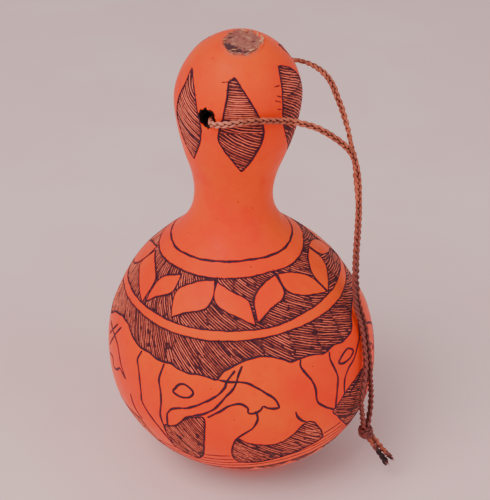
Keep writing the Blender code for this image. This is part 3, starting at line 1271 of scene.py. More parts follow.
@dataclass(frozen=True)
class RindFinish:
    """The stained orange rind, its dark cut ground, the raw pith of its scar, its charred cord holes and its
    inside wall painted near-black as shade.
    """

    orange: tuple = (0.97, 0.042, 0.0003, 1.0)
    amber: tuple = (0.99, 0.082, 0.0006, 1.0)
    red: tuple = (0.92, 0.016, 0.0002, 1.0)
    pink: tuple = (0.70, 0.10, 0.05, 1.0)
    ground: tuple = (0.058, 0.014, 0.024, 1.0)
    ground_warm: tuple = (0.16, 0.036, 0.034, 1.0)
    pith: tuple = (0.33, 0.100, 0.082, 1.0)
    pith_pale: tuple = (0.52, 0.215, 0.150, 1.0)
    pith_dark: tuple = (0.060, 0.025, 0.036, 1.0)
    # Near-black: painted shade on the inside wall, and the char round and in the cord holes
    hollow: tuple = (0.012, 0.005, 0.006, 1.0)
    speck: tuple = (0.14, 0.012, 0.005, 1.0)
    specular: float = 0.12
    sheen: float = 0.2
    sheen_roughness: float = 0.35
    sheen_tint: tuple = (1.0, 0.72, 0.62, 1.0)

    def rind(self, sheet: NodeSheet) -> Socket:
        """The uncut skin's colour, mottled on four scales and specked.

        Args:
            sheet: the skin's node tree.

        Returns:
            The socket that gives the colour.
        """
        colour = sheet.patches(self.orange, self.amber, sheet.noise(32, 2.0), 0.38, 0.66)
        colour = sheet.patches(colour, self.red, sheet.noise(55, 4.0, 0.6), 0.52, 0.78, most=0.75)
        colour = sheet.patches(colour, self.red, sheet.noise(420), 0.45, 0.75, most=0.28)
        colour = sheet.patches(colour, self.amber, sheet.noise(900, 2.0), 0.62, 0.80, most=0.35)
        return sheet.mix(sheet.math("MULTIPLY", sheet.specks(210, 0.055), 0.8), colour, self.speck)

    def raw_pith(self, sheet: NodeSheet) -> Socket:
        """The torn scar's colour, with its dark stains.

        Args:
            sheet: the skin's node tree.

        Returns:
            The socket that gives the colour.
        """
        raw = sheet.patches(self.pith, self.pith_pale, sheet.noise(620, 4.0, 0.7), 0.45, 0.70)
        scorch = sheet.ragged(sheet.attribute("scorch"), sheet.noise(800, 3.0, 0.7), -0.5, 0.5)
        return sheet.patches(raw, self.pith_dark, scorch, 0.35, 0.85, most=0.9)

    def build(self) -> Material:
        """Makes the skin's material.

        Returns:
            The material, which reads the skin's cut, scar, scorch and inside attributes.
        """
        sheet = NodeSheet("gourd_rind")
        edge = sheet.ragged(sheet.attribute("cut"), sheet.noise(1500, 2.0), -0.10, 0.10)
        carved = sheet.step(edge, -0.06, 0.10)
        stain = sheet.patches(self.ground, self.ground_warm, sheet.noise(700, 3.0, 0.6), 0.40, 0.72)
        colour = sheet.mix(carved, self.rind(sheet), stain)
        torn = sheet.ragged(sheet.attribute("scar"), sheet.noise(500), -0.2, 0.2)
        colour = sheet.patches(colour, self.pink, torn, -1.2, 0.1, most=0.5)
        colour = sheet.patches(colour, self.raw_pith(sheet), torn, -0.1, 0.4)
        # Painted shade on the inside wall, and the real char round the cord holes, both near-black
        burnt = sheet.ragged(sheet.attribute("inside"), sheet.noise(750), -0.55, 0.18, low=0.35, high=0.65)
        colour = sheet.patches(colour, self.hollow, burnt, 0.22, 0.42)
        roughness = sheet.step(sheet.noise(300), 0.3, 0.7, 0.42, 0.56)
        roughness = sheet.math("ADD", roughness, sheet.math("MULTIPLY", carved, 0.3))
        roughness = sheet.math("ADD", roughness, sheet.step(torn, 0.0, 0.4, 0.0, 0.4))
        normal = sheet.bump(sheet.noise(60), 0.35, 0.5)
        normal = sheet.bump(sheet.noise(700), 0.045, 0.7, normal)
        rough_pith = sheet.math("MULTIPLY", sheet.noise(900, 4.0, 0.7), sheet.step(torn, 0.0, 0.5))
        normal = sheet.bump(rough_pith, 0.5, 1.0, normal)
        sheet.set("Specular IOR Level", self.specular)
        sheet.set("Sheen Weight", self.sheen)
        sheet.set("Sheen Roughness", self.sheen_roughness)
        sheet.set("Sheen Tint", self.sheen_tint)
        return sheet.dress(colour, roughness, normal)


@dataclass(frozen=True)
class SliverFinish:
    """The slivers of rind between the cuts: stained flanks and a lighter crest."""

    flank: tuple = (0.12, 0.024, 0.028, 1.0)
    dull: tuple = (0.44, 0.068, 0.046, 1.0)
    bright: tuple = (0.94, 0.165, 0.092, 1.0)
    specular: float = 0.3

    def build(self) -> Material:
        """Makes the slivers' material.

        Returns:
            The material, which reads their tone and crest attributes.
        """
        sheet = NodeSheet("rind_slivers")
        tone = sheet.ragged(sheet.attribute("tone"), sheet.noise(900, 2.0), -0.25, 0.25)
        crest = sheet.patches(self.dull, self.bright, tone, 0.15, 0.85)
        colour = sheet.patches(self.flank, crest, sheet.attribute("crest"), 0.25, 0.85)
        sheet.set("Specular IOR Level", self.specular)
        normal = sheet.bump(sheet.noise(1200, 2.0), 0.03, 0.6)
        return sheet.dress(colour, sheet.step(tone, 0.2, 0.9, 0.6, 0.45), normal)


@dataclass(frozen=True)
class CutFinish:
    """The stain in the knife's lines: dark purple, or red-brown where the cut is shallow."""

    dark: tuple = (0.040, 0.007, 0.028, 1.0)
    warm: tuple = (0.30, 0.020, 0.012, 1.0)
    specular: float = 0.3
    roughness: float = 0.62

    def build(self) -> Material:
        """Makes the lines' material.

        Returns:
            The material, which reads their tone attribute.
        """
        sheet = NodeSheet("cut_stain")
        tone = sheet.ragged(sheet.attribute("tone"), sheet.noise(800), -0.3, 0.3)
        colour = sheet.patches(self.dark, self.warm, tone, 0.3, 1.0)
        sheet.set("Specular IOR Level", self.specular)
        return sheet.dress(colour, self.roughness, sheet.bump(sheet.noise(1500, 2.0), 0.04, 0.8))


@dataclass(frozen=True)
class FibreFinish:
    """The cord's waxed red-brown fibre: pale where it is clean, soiled low down, burnt at its ends, with
    painted shade between its strands and inside the shell, and painted highlight on its thread crests.
    """

    pale: tuple = (0.88, 0.30, 0.20, 1.0)
    # Lighter fibre: painted highlight on the thread crests, and the fibre's own lighter patches
    light: tuple = (0.64, 0.155, 0.085, 1.0)
    deep: tuple = (0.20, 0.036, 0.024, 1.0)
    # Painted shade in the gaps between the strands, towards the cord's core
    crevice_shade: tuple = (0.034, 0.007, 0.009, 1.0)
    soiled: tuple = (0.15, 0.026, 0.033, 1.0)
    # Near-black of the burnt tails, also used as painted shade where the cord runs inside the shell
    burnt: tuple = (0.022, 0.006, 0.008, 1.0)
    specular: float = 0.35

    def threads(self, sheet: NodeSheet) -> Socket:
        """The fine threads that run along the strands and wind round them.

        Args:
            sheet: the cord's node tree.

        Returns:
            The socket that gives their height, from 0 to 1.
        """
        wound = sheet.math("MULTIPLY", sheet.attribute("around"), 3.0)
        twist = sheet.math("ADD", wound, sheet.math("MULTIPLY", sheet.attribute("along"), 0.7))
        return sheet.math("ABSOLUTE", sheet.math("SINE", sheet.math("MULTIPLY", twist, math.pi)))

    def build(self) -> Material:
        """Makes the cord's material.

        Returns:
            The material, which reads the strands' around, along, burn and outer attributes.
        """
        sheet = NodeSheet("cord_fibre")
        thread, patchy, burn_and_shade = self.threads(sheet), sheet.noise(350), sheet.attribute("burn_and_shade")
        # Painted highlight: the thread crests turn lighter; the noise patches are the fibre's own tone
        share = sheet.math("ADD", sheet.math("MULTIPLY", thread, 0.35), sheet.math("MULTIPLY", patchy, 0.9))
        colour = sheet.patches(self.deep, self.light, share, 0.35, 0.95)
        colour = sheet.patches(colour, self.pale, burn_and_shade, -0.02, -0.35, most=0.75)
        # Soiled fibre, which also covers the cord's painted shade inside the shell
        soil_and_shade = sheet.math("MULTIPLY", sheet.step(burn_and_shade, 0.0, 0.5), sheet.step(patchy, 0.3, 0.6, 0.75, 1.0))
        colour = sheet.mix(sheet.math("MULTIPLY", soil_and_shade, 0.85), colour, self.soiled)
        # Near-black on the burnt tails, and as painted shade on the cord inside the shell
        colour = sheet.patches(colour, self.burnt, burn_and_shade, 0.5, 0.9)
        # Painted shade: darker towards the cord's core, in the gaps between the strands
        colour = sheet.patches(self.crevice_shade, colour, sheet.attribute("outer"), 0.40, 0.80)
        sheet.set("Specular IOR Level", self.specular)
        return sheet.dress(colour, sheet.step(patchy, 0.3, 0.7, 0.48, 0.66), sheet.bump(thread, 0.05, 0.8))


@dataclass(frozen=True)
class ChipFinish:
    """The pale dry flakes on the torn stem scar."""

    pale: tuple = (0.62, 0.26, 0.14, 1.0)
    brown: tuple = (0.28, 0.080, 0.045, 1.0)
    roughness: float = 0.75

    def build(self) -> Material:
        """Makes the flakes' material.

        Returns:
            The material.
        """
        sheet = NodeSheet("scar_flakes")
        colour = sheet.patches(self.pale, self.brown, sheet.noise(600), 0.45, 0.7)
        return sheet.dress(colour, self.roughness, sheet.bump(sheet.noise(1500), 0.05, 0.8))


@dataclass(frozen=True)
class FloorFinish:
    """The pale floor."""

    pale: tuple = (0.99, 0.72, 0.72, 1.0)
    shade: tuple = (0.98, 0.66, 0.67, 1.0)
    roughness: float = 0.85

    def build(self) -> Material:
        """Makes the floor's material.

        Returns:
            The material.
        """
        sheet = NodeSheet("pale_floor")
        colour = sheet.patches(self.pale, self.shade, sheet.noise(9), 0.35, 0.65)
        return sheet.dress(colour, self.roughness, sheet.bump(sheet.noise(900, 2.0), 0.05, 0.3))


# The gourd


@dataclass(frozen=True)
class CordHole:
    """A ragged hole burnt through the head's wall, charred beyond its edge by a share of its radius."""

    azimuth: float
    height: float
    radius: float = 2.6
    length: float = 10.0
    head_x: float = -1.0
    head_radius: float = 19.4
    charred: float = 0.28

    def outward(self) -> Array:
        """The level direction that the hole looks in."""
        turn = math.radians(self.azimuth)
        return np.array([math.sin(turn), -math.cos(turn), 0.0])

    def cutter(self, wall: float) -> Object:
        """A ragged bar that cuts the hole.

        Args:
            wall: thickness of the wall, in millimetres.

        Returns:
            The closed cutter.
        """
        outward, up = self.outward(), np.array([0.0, 0.0, 1.0])
        across = np.array([-outward[1], outward[0], 0.0])
        middle = np.array([self.head_x, 0.0, self.height]) + outward * (self.head_radius - wall / 2)
        angles = np.radians(np.arange(0, 360, 10))
        spokes = np.cos(angles)[:, None] * across + np.sin(angles)[:, None] * up
        rings = []
        for depth in np.arange(-self.length / 2, self.length / 2 + 0.1, 0.5):
            ragged = 1 + 0.05 * np.cos(3 * angles) + 0.05 * np.cos(7 * angles + 1.0)
            ragged += 0.05 * np.cos(10 * angles + depth * 1.2) + 0.03 * np.cos(5 * angles - depth * 1.5)
            rings.append(middle + outward * depth + spokes * (self.radius * ragged)[:, None])
        count = len(angles)
        last = (len(rings) - 1) * count
        faces = [tuple(range(count))[::-1], *tube_faces(0, len(rings), count)]
        faces.append(tuple(range(last, last + count)))
        cutter = mesh_object("hole_cutter", np.vstack(rings), faces)
        edit_all(cutter, bpy.ops.mesh.normals_make_consistent)
        return cutter

    def burnt(self, places: Array) -> Array:
        """How charred the skin is by the hole.

        Args:
            places: one row of x, y and z for each place, in millimetres.

        Returns:
            For each place 1 in the hole, falling to 0 where the charring ends.
        """
        away = places - (self.head_x, 0.0, self.height)
        ahead = away @ self.outward()
        from_axis = np.linalg.norm(away - ahead[:, None] * self.outward(), axis=1)
        reach = self.charred * self.radius
        charring = np.clip(((1 + self.charred) * self.radius - from_axis) / reach, 0.0, 1.0)
        return np.where(ahead > 0, charring, 0.0)


@dataclass
class GourdShell:
    """The hollow gourd with its carved ground sunk into the skin, its cord holes and its torn scar.

    The scar's rings have a radius and a height, and its dark stains a place and a size.
    """

    form: GourdForm
    ground: CarvedGround
    holes: tuple = (CordHole(-28.0, 129.3), CordHole(145.0, 132.0))
    sides: int = 360
    inner_sides: int = 64
    wall: float = 4.0
    depth: float = 0.16
    scorches: tuple = (
        (-4.0, -1.2, 1.5), (-2.8, -3.0, 1.6), (-0.6, -4.2, 1.5), (1.6, -4.6, 1.0), (-3.2, 2.6, 0.9),
        (3.4, 0.6, 0.5), (0.4, 2.2, 0.5),
    )
    foot_rings: tuple = (0.0, 4.5, 9.0)
    scar_rings: tuple = (
        (6.2, 148.85), (6.0, 149.0), (5.8, 148.95), (5.5, 148.75), (5.2, 148.45), (4.9, 148.3), (4.5, 148.35),
        (4.0, 148.4), (3.5, 148.45), (3.0, 148.5), (2.5, 148.45), (2.0, 148.4), (1.5, 148.4), (1.0, 148.4),
        (0.5, 148.4), (0.0, 148.4),
    )
    scar_from: float = 140.0
    far: float = -9.0

    def spun(self, name: str, profile: list[tuple], sides: int) -> Object:
        """A closed shell, spun from a profile that starts and ends on the axis.

        Args:
            name: the object's name.
            profile: radius and height of each place, in millimetres.
            sides: facets round.

        Returns:
            The shell, with its faces pointing outwards.
        """
        clear_selection()
        bpy.ops.mesh.primitive_plane_add(size=1.0, location=(0, 0, 0))
        shell = bpy.context.object
        shell.name = shell.data.name = name
        bpy.ops.object.mode_set(mode="EDIT")
        mesh = bmesh.from_edit_mesh(shell.data)
        mesh.verts.ensure_lookup_table()
        bmesh.ops.delete(mesh, geom=mesh.verts[1:], context="VERTS")
        mesh.verts.ensure_lookup_table()
        mesh.verts[0].co = Vector((0.0, profile[0][0], profile[0][1])) * MM
        mesh.verts[0].select_set(True)
        bmesh.update_edit_mesh(shell.data)
        for (radius, height), (next_radius, next_height) in zip(profile, profile[1:]):
            move = Vector((0.0, next_radius - radius, next_height - height)) * MM
            bpy.ops.mesh.extrude_region_move(TRANSFORM_OT_translate={"value": move})
        bpy.ops.mesh.select_all(action="SELECT")
        bpy.ops.mesh.spin(steps=sides, angle=2 * math.pi, center=(0, 0, 0), axis=(0, 0, 1))
        bpy.ops.mesh.select_all(action="SELECT")
        bpy.ops.mesh.remove_doubles(threshold=0.004 * MM)
        bpy.ops.mesh.normals_make_consistent(inside=False)
        bpy.ops.object.mode_set(mode="OBJECT")
        return shell

    def torn_lift(self, azimuth: Array, radius: Array) -> Array:
        """How far the torn scar rises or falls.

        Args:
            azimuth: degrees from the front.
            radius: millimetres from the scar's middle.

        Returns:
            The rise at each place, in millimetres.
        """
        turn = np.radians(azimuth)
        lip = 0.5 * np.cos(5 * turn + 0.4) + 0.3 * np.cos(9 * turn + 1.9) + 0.2 * np.cos(14 * turn + 0.8)
        near_lip = np.exp(-(((radius - 5.9) / 0.45) ** 2))
        lumps = np.sin(radius * 3.1 + 2 * np.cos(turn * 3)) * np.cos(turn * 4 + radius)
        lumps += np.sin(turn * 7 + radius * 2.3)
        return 0.35 * lip * near_lip + 0.10 * lumps * smooth_steps(-radius, -5.6, -4.9)

    def outer_skin(self) -> Object:
        """Spins the outside and shapes it: the ground sunk, the scar torn, the crown leaned.

        Returns:
            The skin, still open to no hole. Its places and their attributes are kept for later.
        """
        foot_radius, shift = OUTLINE[0][1:]
        top, scar_radius, top_shift = OUTLINE[-1]
        profile = [(radius, 0.0) for radius in self.foot_rings]
        profile += [(float(self.form.radius(row)), float(row)) for row in self.form.spaced_heights()]
        skin = self.spun("gourd_shell", profile + list(self.scar_rings), self.sides)
        places = vertex_places(skin)
        radius = np.hypot(places[:, 0], places[:, 1])
        azimuth = np.degrees(np.arctan2(places[:, 0], -places[:, 1]))
        height = places[:, 2].copy()
        crown = (height > top - 0.5) & (radius < scar_radius - 0.1)
        foot = (height < 0.001) & (radius < foot_radius - 0.1)
        body = ~(crown | foot)
        cut = np.full(len(places), -self.ground.REACH)
        cut[body] = self.ground.distance(azimuth[body], height[body])
        sink = self.depth * smooth_steps(cut, -0.05, 0.25)
        shaped = self.form.place(azimuth, np.minimum(height, top), -sink)
        shaped[foot] = places[foot] + (shift, 0.0, 0.0)
        torn = places[crown] + (top_shift, 0.0, 0.0)
        torn[:, 2] += self.torn_lift(azimuth[crown], radius[crown])
        shaped[crown] = self.form.leaned(torn)
        move_vertices(skin, shaped)
        self.skin_places = shaped
        self.skin_cut = cut
        self.mark_scar(places)
        return skin

    def mark_scar(self, places: Array) -> None:
        """Works out how far inside the scar and how stained each place of the upright skin is.

        Args:
            places: one row of x, y and z for each place, in millimetres.
        """
        oval = np.hypot(places[:, 0], (places[:, 1] + 0.3) * 0.89)
        high = places[:, 2] > self.scar_from
        self.skin_scar = np.where(high, 5.7 - oval, self.far)
        self.skin_scorch = np.zeros(len(places))
        for x, y, size in self.scorches:
            self.skin_scorch += np.exp(-((places[:, 0] - x) ** 2 + (places[:, 1] - y) ** 2) / size**2)
        self.skin_scorch *= high

    def hollow(self) -> Object:
        """Makes the inside wall.

        Returns:
            The lining, with its faces pointing into the hollow.
        """
        outline = self.form.rows[:: self.form.steps]
        along = unit(np.gradient(outline[:, :2], axis=0))
        inner = outline[:, :2] + np.column_stack([self.wall * along[:, 1], -self.wall * along[:, 0]])
        inner = inner[inner[:, 0] > self.wall]
        profile = [(0.0, inner[0, 0])] + [(row[1], row[0]) for row in inner] + [(0.0, inner[-1, 0] + 0.5)]
        lining = self.spun("gourd_hollow", profile, self.inner_sides)
        places = vertex_places(lining)
        places[:, 0] += self.form.centre(places[:, 2])
        move_vertices(lining, self.form.leaned(places))
        edit_all(lining, bpy.ops.mesh.flip_normals)
        return lining

    def build(self, material: Material) -> Object:
        """Builds the whole shell, which stands for the gourd's solid.

        Args:
            material: the skin's material.

        Returns:
            The finished piece.
        """
        skin = self.outer_skin()
        lining = self.hollow()
        select_only(skin)
        lining.select_set(True)
        bpy.ops.object.join()
        for hole in self.holes:
            cutter = hole.cutter(self.wall)
            cut = skin.modifiers.new("cord_hole", "BOOLEAN")
            cut.operation = "DIFFERENCE"
            cut.solver = "MANIFOLD"
            cut.object = cutter
            apply_modifiers(skin)
            bpy.data.objects.remove(cutter, do_unlink=True)
        self.store_attributes(skin)
        skin.data.shade_smooth()
        skin.name = skin.data.name = "gourd_shell"
        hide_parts("gourd")
        return finish_piece(skin, material)

    def store_attributes(self, skin: Object) -> None:
        """Writes the carved distance, the scar and the inside on the vertices that the holes left.

        Args:
            skin: the shell, whose vertices may have another order now.
        """
        tree = KDTree(len(self.skin_places))
        for index, place in enumerate(self.skin_places):
            tree.insert(place, index)
        tree.balance()
        places = vertex_places(skin)
        nearest = np.empty(len(places), int)
        apart = np.empty(len(places))
        for index, place in enumerate(places):
            _, nearest[index], apart[index] = tree.find(place)
        # 1 on the inside wall, which the rind paints near-black as shade; the holes add their charred rims
        inside = np.clip((apart - 0.40) / 0.2, 0.0, 1.0)
        for hole in self.holes:
            inside = np.maximum(inside, hole.burnt(places))
        write_attribute(skin, "cut", self.skin_cut[nearest])
        write_attribute(skin, "scar", np.where(apart < 0.6, self.skin_scar[nearest], self.far))
        write_attribute(skin, "scorch", self.skin_scorch[nearest])
        write_attribute(skin, "inside", inside)


@dataclass
class StemScar:
    """The dry flakes round the torn stem scar: azimuth, radius, length, width and tilt of each."""

    form: GourdForm
    flakes: tuple = (
        (98, 5.9, 2.2, 1.0, 12), (112, 6.2, 1.6, 0.7, 8), (82, 6.0, 1.5, 0.6, 14), (128, 5.8, 1.5, 0.6, 18),
        (42, 4.7, 2.3, 0.8, 12), (54, 5.1, 1.2, 0.5, 20), (-106, 5.2, 1.5, 0.5, 12), (-88, 5.4, 1.3, 0.5, 18),
        (-30, 4.1, 1.9, 0.5, 10), (-40, 5.3, 1.1, 0.4, 20), (176, 5.6, 2.6, 0.6, 12),
        (150, 5.7, 1.4, 0.5, 18), (-62, 5.6, 1.1, 0.4, 16), (-6, 6.0, 1.0, 0.4, 12), (18, 5.9, 0.9, 0.4, 10),
        (-140, 5.5, 1.2, 0.5, 14),
    )
    thickness: float = 0.16
    level: float = 148.6
    lip: float = 0.3
    seed: int = 11

    def pattern(self) -> tuple[Array, list[tuple]]:
        """Models one thin flake 1 mm across, to copy.

        Returns:
            The places of its vertices in millimetres, and the vertices of each face.
        """
        clear_selection()
        bpy.ops.mesh.primitive_cube_add(size=1.0, location=(0, 0, 0))
        flake = bpy.context.object
        bpy.ops.object.mode_set(mode="EDIT")
        bpy.ops.mesh.select_all(action="SELECT")
        bpy.ops.transform.resize(value=(1.0, 1.0, self.thickness))
        bpy.ops.mesh.bevel(offset=0.05, segments=1)
        bpy.ops.mesh.subdivide(number_cuts=3)
        bpy.ops.object.mode_set(mode="OBJECT")
        base = vertex_places(flake, unit_length=1.0)
        faces = [tuple(face.vertices) for face in flake.data.polygons]
        bpy.data.objects.remove(flake, do_unlink=True)
        return base, faces

    def flake(self, base: Array, row: tuple, skew: float) -> Array:
        """Curls and tapers one flake, and lays it on the scar.

        Args:
            base: the pattern's places.
            row: its azimuth, radius, length, width and tilt.
            skew: how far it lies across the rim, in degrees.

        Returns:
            Its places, in millimetres.
        """
        azimuth, radius, length, width, tilt = row
        turn, slope = math.radians(azimuth), math.radians(tilt)
        ragged = 1 + 0.3 * np.sin(base[:, 0] * 9 + azimuth) + 0.15 * np.sin(base[:, 0] * 23 + 2 * azimuth)
        pointed = 1 - 0.75 * np.clip(base[:, 0] + 0.2, 0, 1)
        long = base[:, 0] * length
        wide = base[:, 1] * (width * ragged * pointed)
        thick = base[:, 2] + 0.35 * base[:, 0] ** 2
        flat = long * math.cos(slope) - thick * math.sin(slope)
        rise = long * math.sin(slope) + thick * math.cos(slope)
        way = turn + math.radians(skew)
        level = self.level + self.lip * (radius > 5.4) - max(radius - 6.2, 0.0) * 0.5
        return self.form.leaned(np.column_stack([
            OUTLINE[-1][2] + math.sin(turn) * radius + flat * math.sin(way) + wide * math.cos(way),
            -math.cos(turn) * radius - flat * math.cos(way) + wide * math.sin(way),
            level + rise,
        ]))

    def build(self, material: Material) -> Object:
        """Makes every flake, in one piece.

        Args:
            material: the flakes' material.

        Returns:
            The finished piece.
        """
        base, faces = self.pattern()
        draws = np.random.default_rng(self.seed)
        places, all_faces = [], []
        for row in self.flakes:
            all_faces += [tuple(len(base) * len(places) + corner for corner in face) for face in faces]
            places.append(self.flake(base, row, draws.uniform(50, 110)))
        return finish_piece(mesh_object("scar_flakes", np.vstack(places), all_faces), material)


@dataclass
class CarvedWork:
    """The hatching and the line drawing all round the gourd, with the widths of its lines."""

    form: GourdForm
    ground: CarvedGround
    slivers: Material
    stain: Material
    figure_width: float = 0.84
    edge_width: float = 0.46
    slip_width: float = 0.42

    def head_hatching(self) -> Object:
        """Makes the slivers in the leaves.

        Returns:
            The finished piece.
        """
        hatch = Hatching(self.form, self.ground.leaf_distance, LEAF_HABIT, seed=3)
        middle = [patch.turned(turn) for turn in (0.0, *LEAF_TURNS) for patch in LEAF_MIDDLE_PATCHES]
        for patch in (*LEAF_LEFT_PATCHES, *middle, *LEAF_RIGHT_PATCHES):
            hatch.fill(patch)
        return finish_piece(hatch.strips.piece("head_slivers"), self.slivers)

    def shoulder_hatching(self) -> Object:
        """Makes the slivers round the petals, which turn flatter from left to right and lower down.

        Returns:
            The finished piece.
        """
        hatch = Hatching(self.form, self.ground.shoulder_distance, GROUND_HABIT, seed=5)
        count = 24
        for number in range(count):
            azimuth = -172.5 + number * 360.0 / count
            upper, lower = (float(ring_height(slants, azimuth)) for slants in (UPPER_SLANTS, LOWER_SLANTS))
            hatch.fill(HatchPatch((azimuth, 77.0), 7.9, 12.0, upper, height_from=74.3))
            hatch.fill(HatchPatch((azimuth, 71.0), 7.9, 13.0, lower, height_to=74.6))
        return finish_piece(hatch.strips.piece("shoulder_slivers"), self.slivers)

    def belly_hatching(self) -> Object:
        """Makes the slivers above the animals' backs, between their legs and under the border.

        Returns:
            The finished piece.
        """
        hatch = Hatching(self.form, self.ground.belly_distance, GROUND_HABIT, seed=7)
        steep, flat, count = 66.0, 20.0, 26
        for number in range(count):
            azimuth = -175.0 + number * 360 / count
            share = 0.5 - 0.5 * math.sin(math.radians(azimuth))
            slant = flat + (steep - flat) * share + float(hatch.draws.normal(0.0, 3.0))
            hatch.fill(HatchPatch((azimuth, 61.0), 7.4, 14.0, slant))
        hatch.ground = self.ground.gap_distance
        for gap in self.ground.gaps:
            hatch.fill(HatchPatch(tuple(gap.middle), 26.0, 22.0, gap.slant))
        hatch.ground = self.ground.foot_distance
        for azimuth in np.arange(-170.0, 190.0, 20.0):
            hatch.fill(HatchPatch((azimuth, 9.5), 10.2, 9.0, 62.0))
        return finish_piece(hatch.strips.piece("belly_slivers"), self.slivers)

    def drawing(self) -> Object:
        """Draws every dark line.

        Returns:
            The finished piece.
        """
        drawing = LineDrawing(self.form, seed=17)
        for leaf in self.ground.leaves:
            drawing.loop(leaf.outline, self.edge_width, tone=0.15)
            drawing.ticks(leaf.outline, 12, slant=30.0, length=1.3, tone=0.15)
        for petal in self.ground.petals:
            drawing.loop(petal.outline, self.edge_width, tone=0.2)
            drawing.ticks(petal.outline, 7, slant=40.0, length=1.0, tone=0.3)
        around = np.arange(-180.0, 181.5, 1.5)
        for line, width, ticks in RINGS:
            ring = np.column_stack([around, ring_height(line, around)])
            drawing.line(ring, width, smooth=False, tone=0.12)
            drawing.ticks(ring, ticks, slant=42.0, length=1.1, tone=0.25)
        for slip in SLIPS:
            places = resampled(np.array(slip, float), np.ones(1), 0.2)
            drawing.line(places, self.slip_width, smooth=False, tone=0.6)
        for turn, lines in PROCESSION:
            for line in lines:
                drawing.line(np.array(line, float) + (turn, 0.0), self.figure_width, tone=0.12)
        for gap in self.ground.gaps:
            drawing.loop(gap.outline, self.edge_width, tone=0.15)
        for middle, width, tone in BORDER_LINES:
            for part in self.outside_gaps(around, self.ground.border_height(around, middle)):
                drawing.line(part, width, smooth=False, tone=tone)
        return finish_piece(drawing.strips.piece("cut_lines"), self.stain)

    def outside_gaps(self, around: Array, heights: Array) -> list[Array]:
        """Finds the stretches of a ring that don't cross the hatched gaps.

        Args:
            around: the azimuth of each place on the ring.
            heights: its height there.

        Returns:
            The places of each stretch, a quarter of a degree apart.
        """
        azimuth = np.linspace(around[0], around[-1], 1441)
        fine = np.column_stack([azimuth, np.interp(azimuth, around, heights)])
        open_skin = self.ground.gap_distance(fine[:, 0], fine[:, 1]) < 0.0
        return [fine[start:end] for start, end in unbroken_runs(open_skin) if end - start > 8]


# The cord's pieces


@dataclass
class StrandBundle:
    """Gathers round strands of fibre, and makes one mesh of them."""

    sides: int
    places: list[Array] = field(default_factory=list)
    faces: list[tuple] = field(default_factory=list)
    values: dict[str, list[Array]] = field(default_factory=dict)
    count: int = 0

    def add(self, middle: Array, up: Array, radii: Array, burn_and_shade: Array, core: Array) -> None:
        """Adds one closed strand.

        Args:
            middle: the strand's centreline, in millimetres.
            up: a direction across the strand at each place.
            radii: its radius at each place.
            burn_and_shade: how burnt or soiled it is at each place, from 0 to 1, raised as painted shade
                inside the shell, or how clean below 0.
            core: the line that the whole cord follows, at the same places.
        """
        rings = len(middle)
        tangent = unit(np.gradient(middle, axis=0))
        up = unit(up - tangent * (up * tangent).sum(axis=1)[:, None])
        over = np.cross(up, tangent)
        angles = np.arange(self.sides) * 2 * math.pi / self.sides
        ring = np.cos(angles)[None, :, None] * over[:, None] + np.sin(angles)[None, :, None] * up[:, None]
        tube = middle[:, None] + ring * radii[:, None, None]
        reach = np.linalg.norm(tube - core[:, None], axis=2)
        along = distance_along(spans(middle))
        self.places += [tube.reshape(-1, 3), middle[:1], middle[-1:]]
        cap = self.count + rings * self.sides
        self.faces += tube_faces(self.count, rings, self.sides, tips=(cap, cap + 1))
        self.count = cap + 2
        for name, values, tips in (
            ("around", np.tile(np.abs(angles / math.pi - 1), rings), [0.0, 0.0]),
            ("along", np.repeat(along, self.sides), along[[0, -1]]),
            ("burn_and_shade", np.repeat(burn_and_shade, self.sides), burn_and_shade[[0, -1]]),
            ("outer", reach.ravel(), [0.0, 0.0]),
        ):
            self.values.setdefault(name, []).append(np.append(values, tips))

    def piece(self, name: str) -> Object:
        """Makes one object of every strand gathered.

        Args:
            name: the object's name.

        Returns:
            The object, with the numbers that its material reads.
        """
        item = mesh_object(name, np.vstack(self.places), self.faces)
        for value, parts in self.values.items():
            write_attribute(item, value, np.concatenate(parts))
        return item


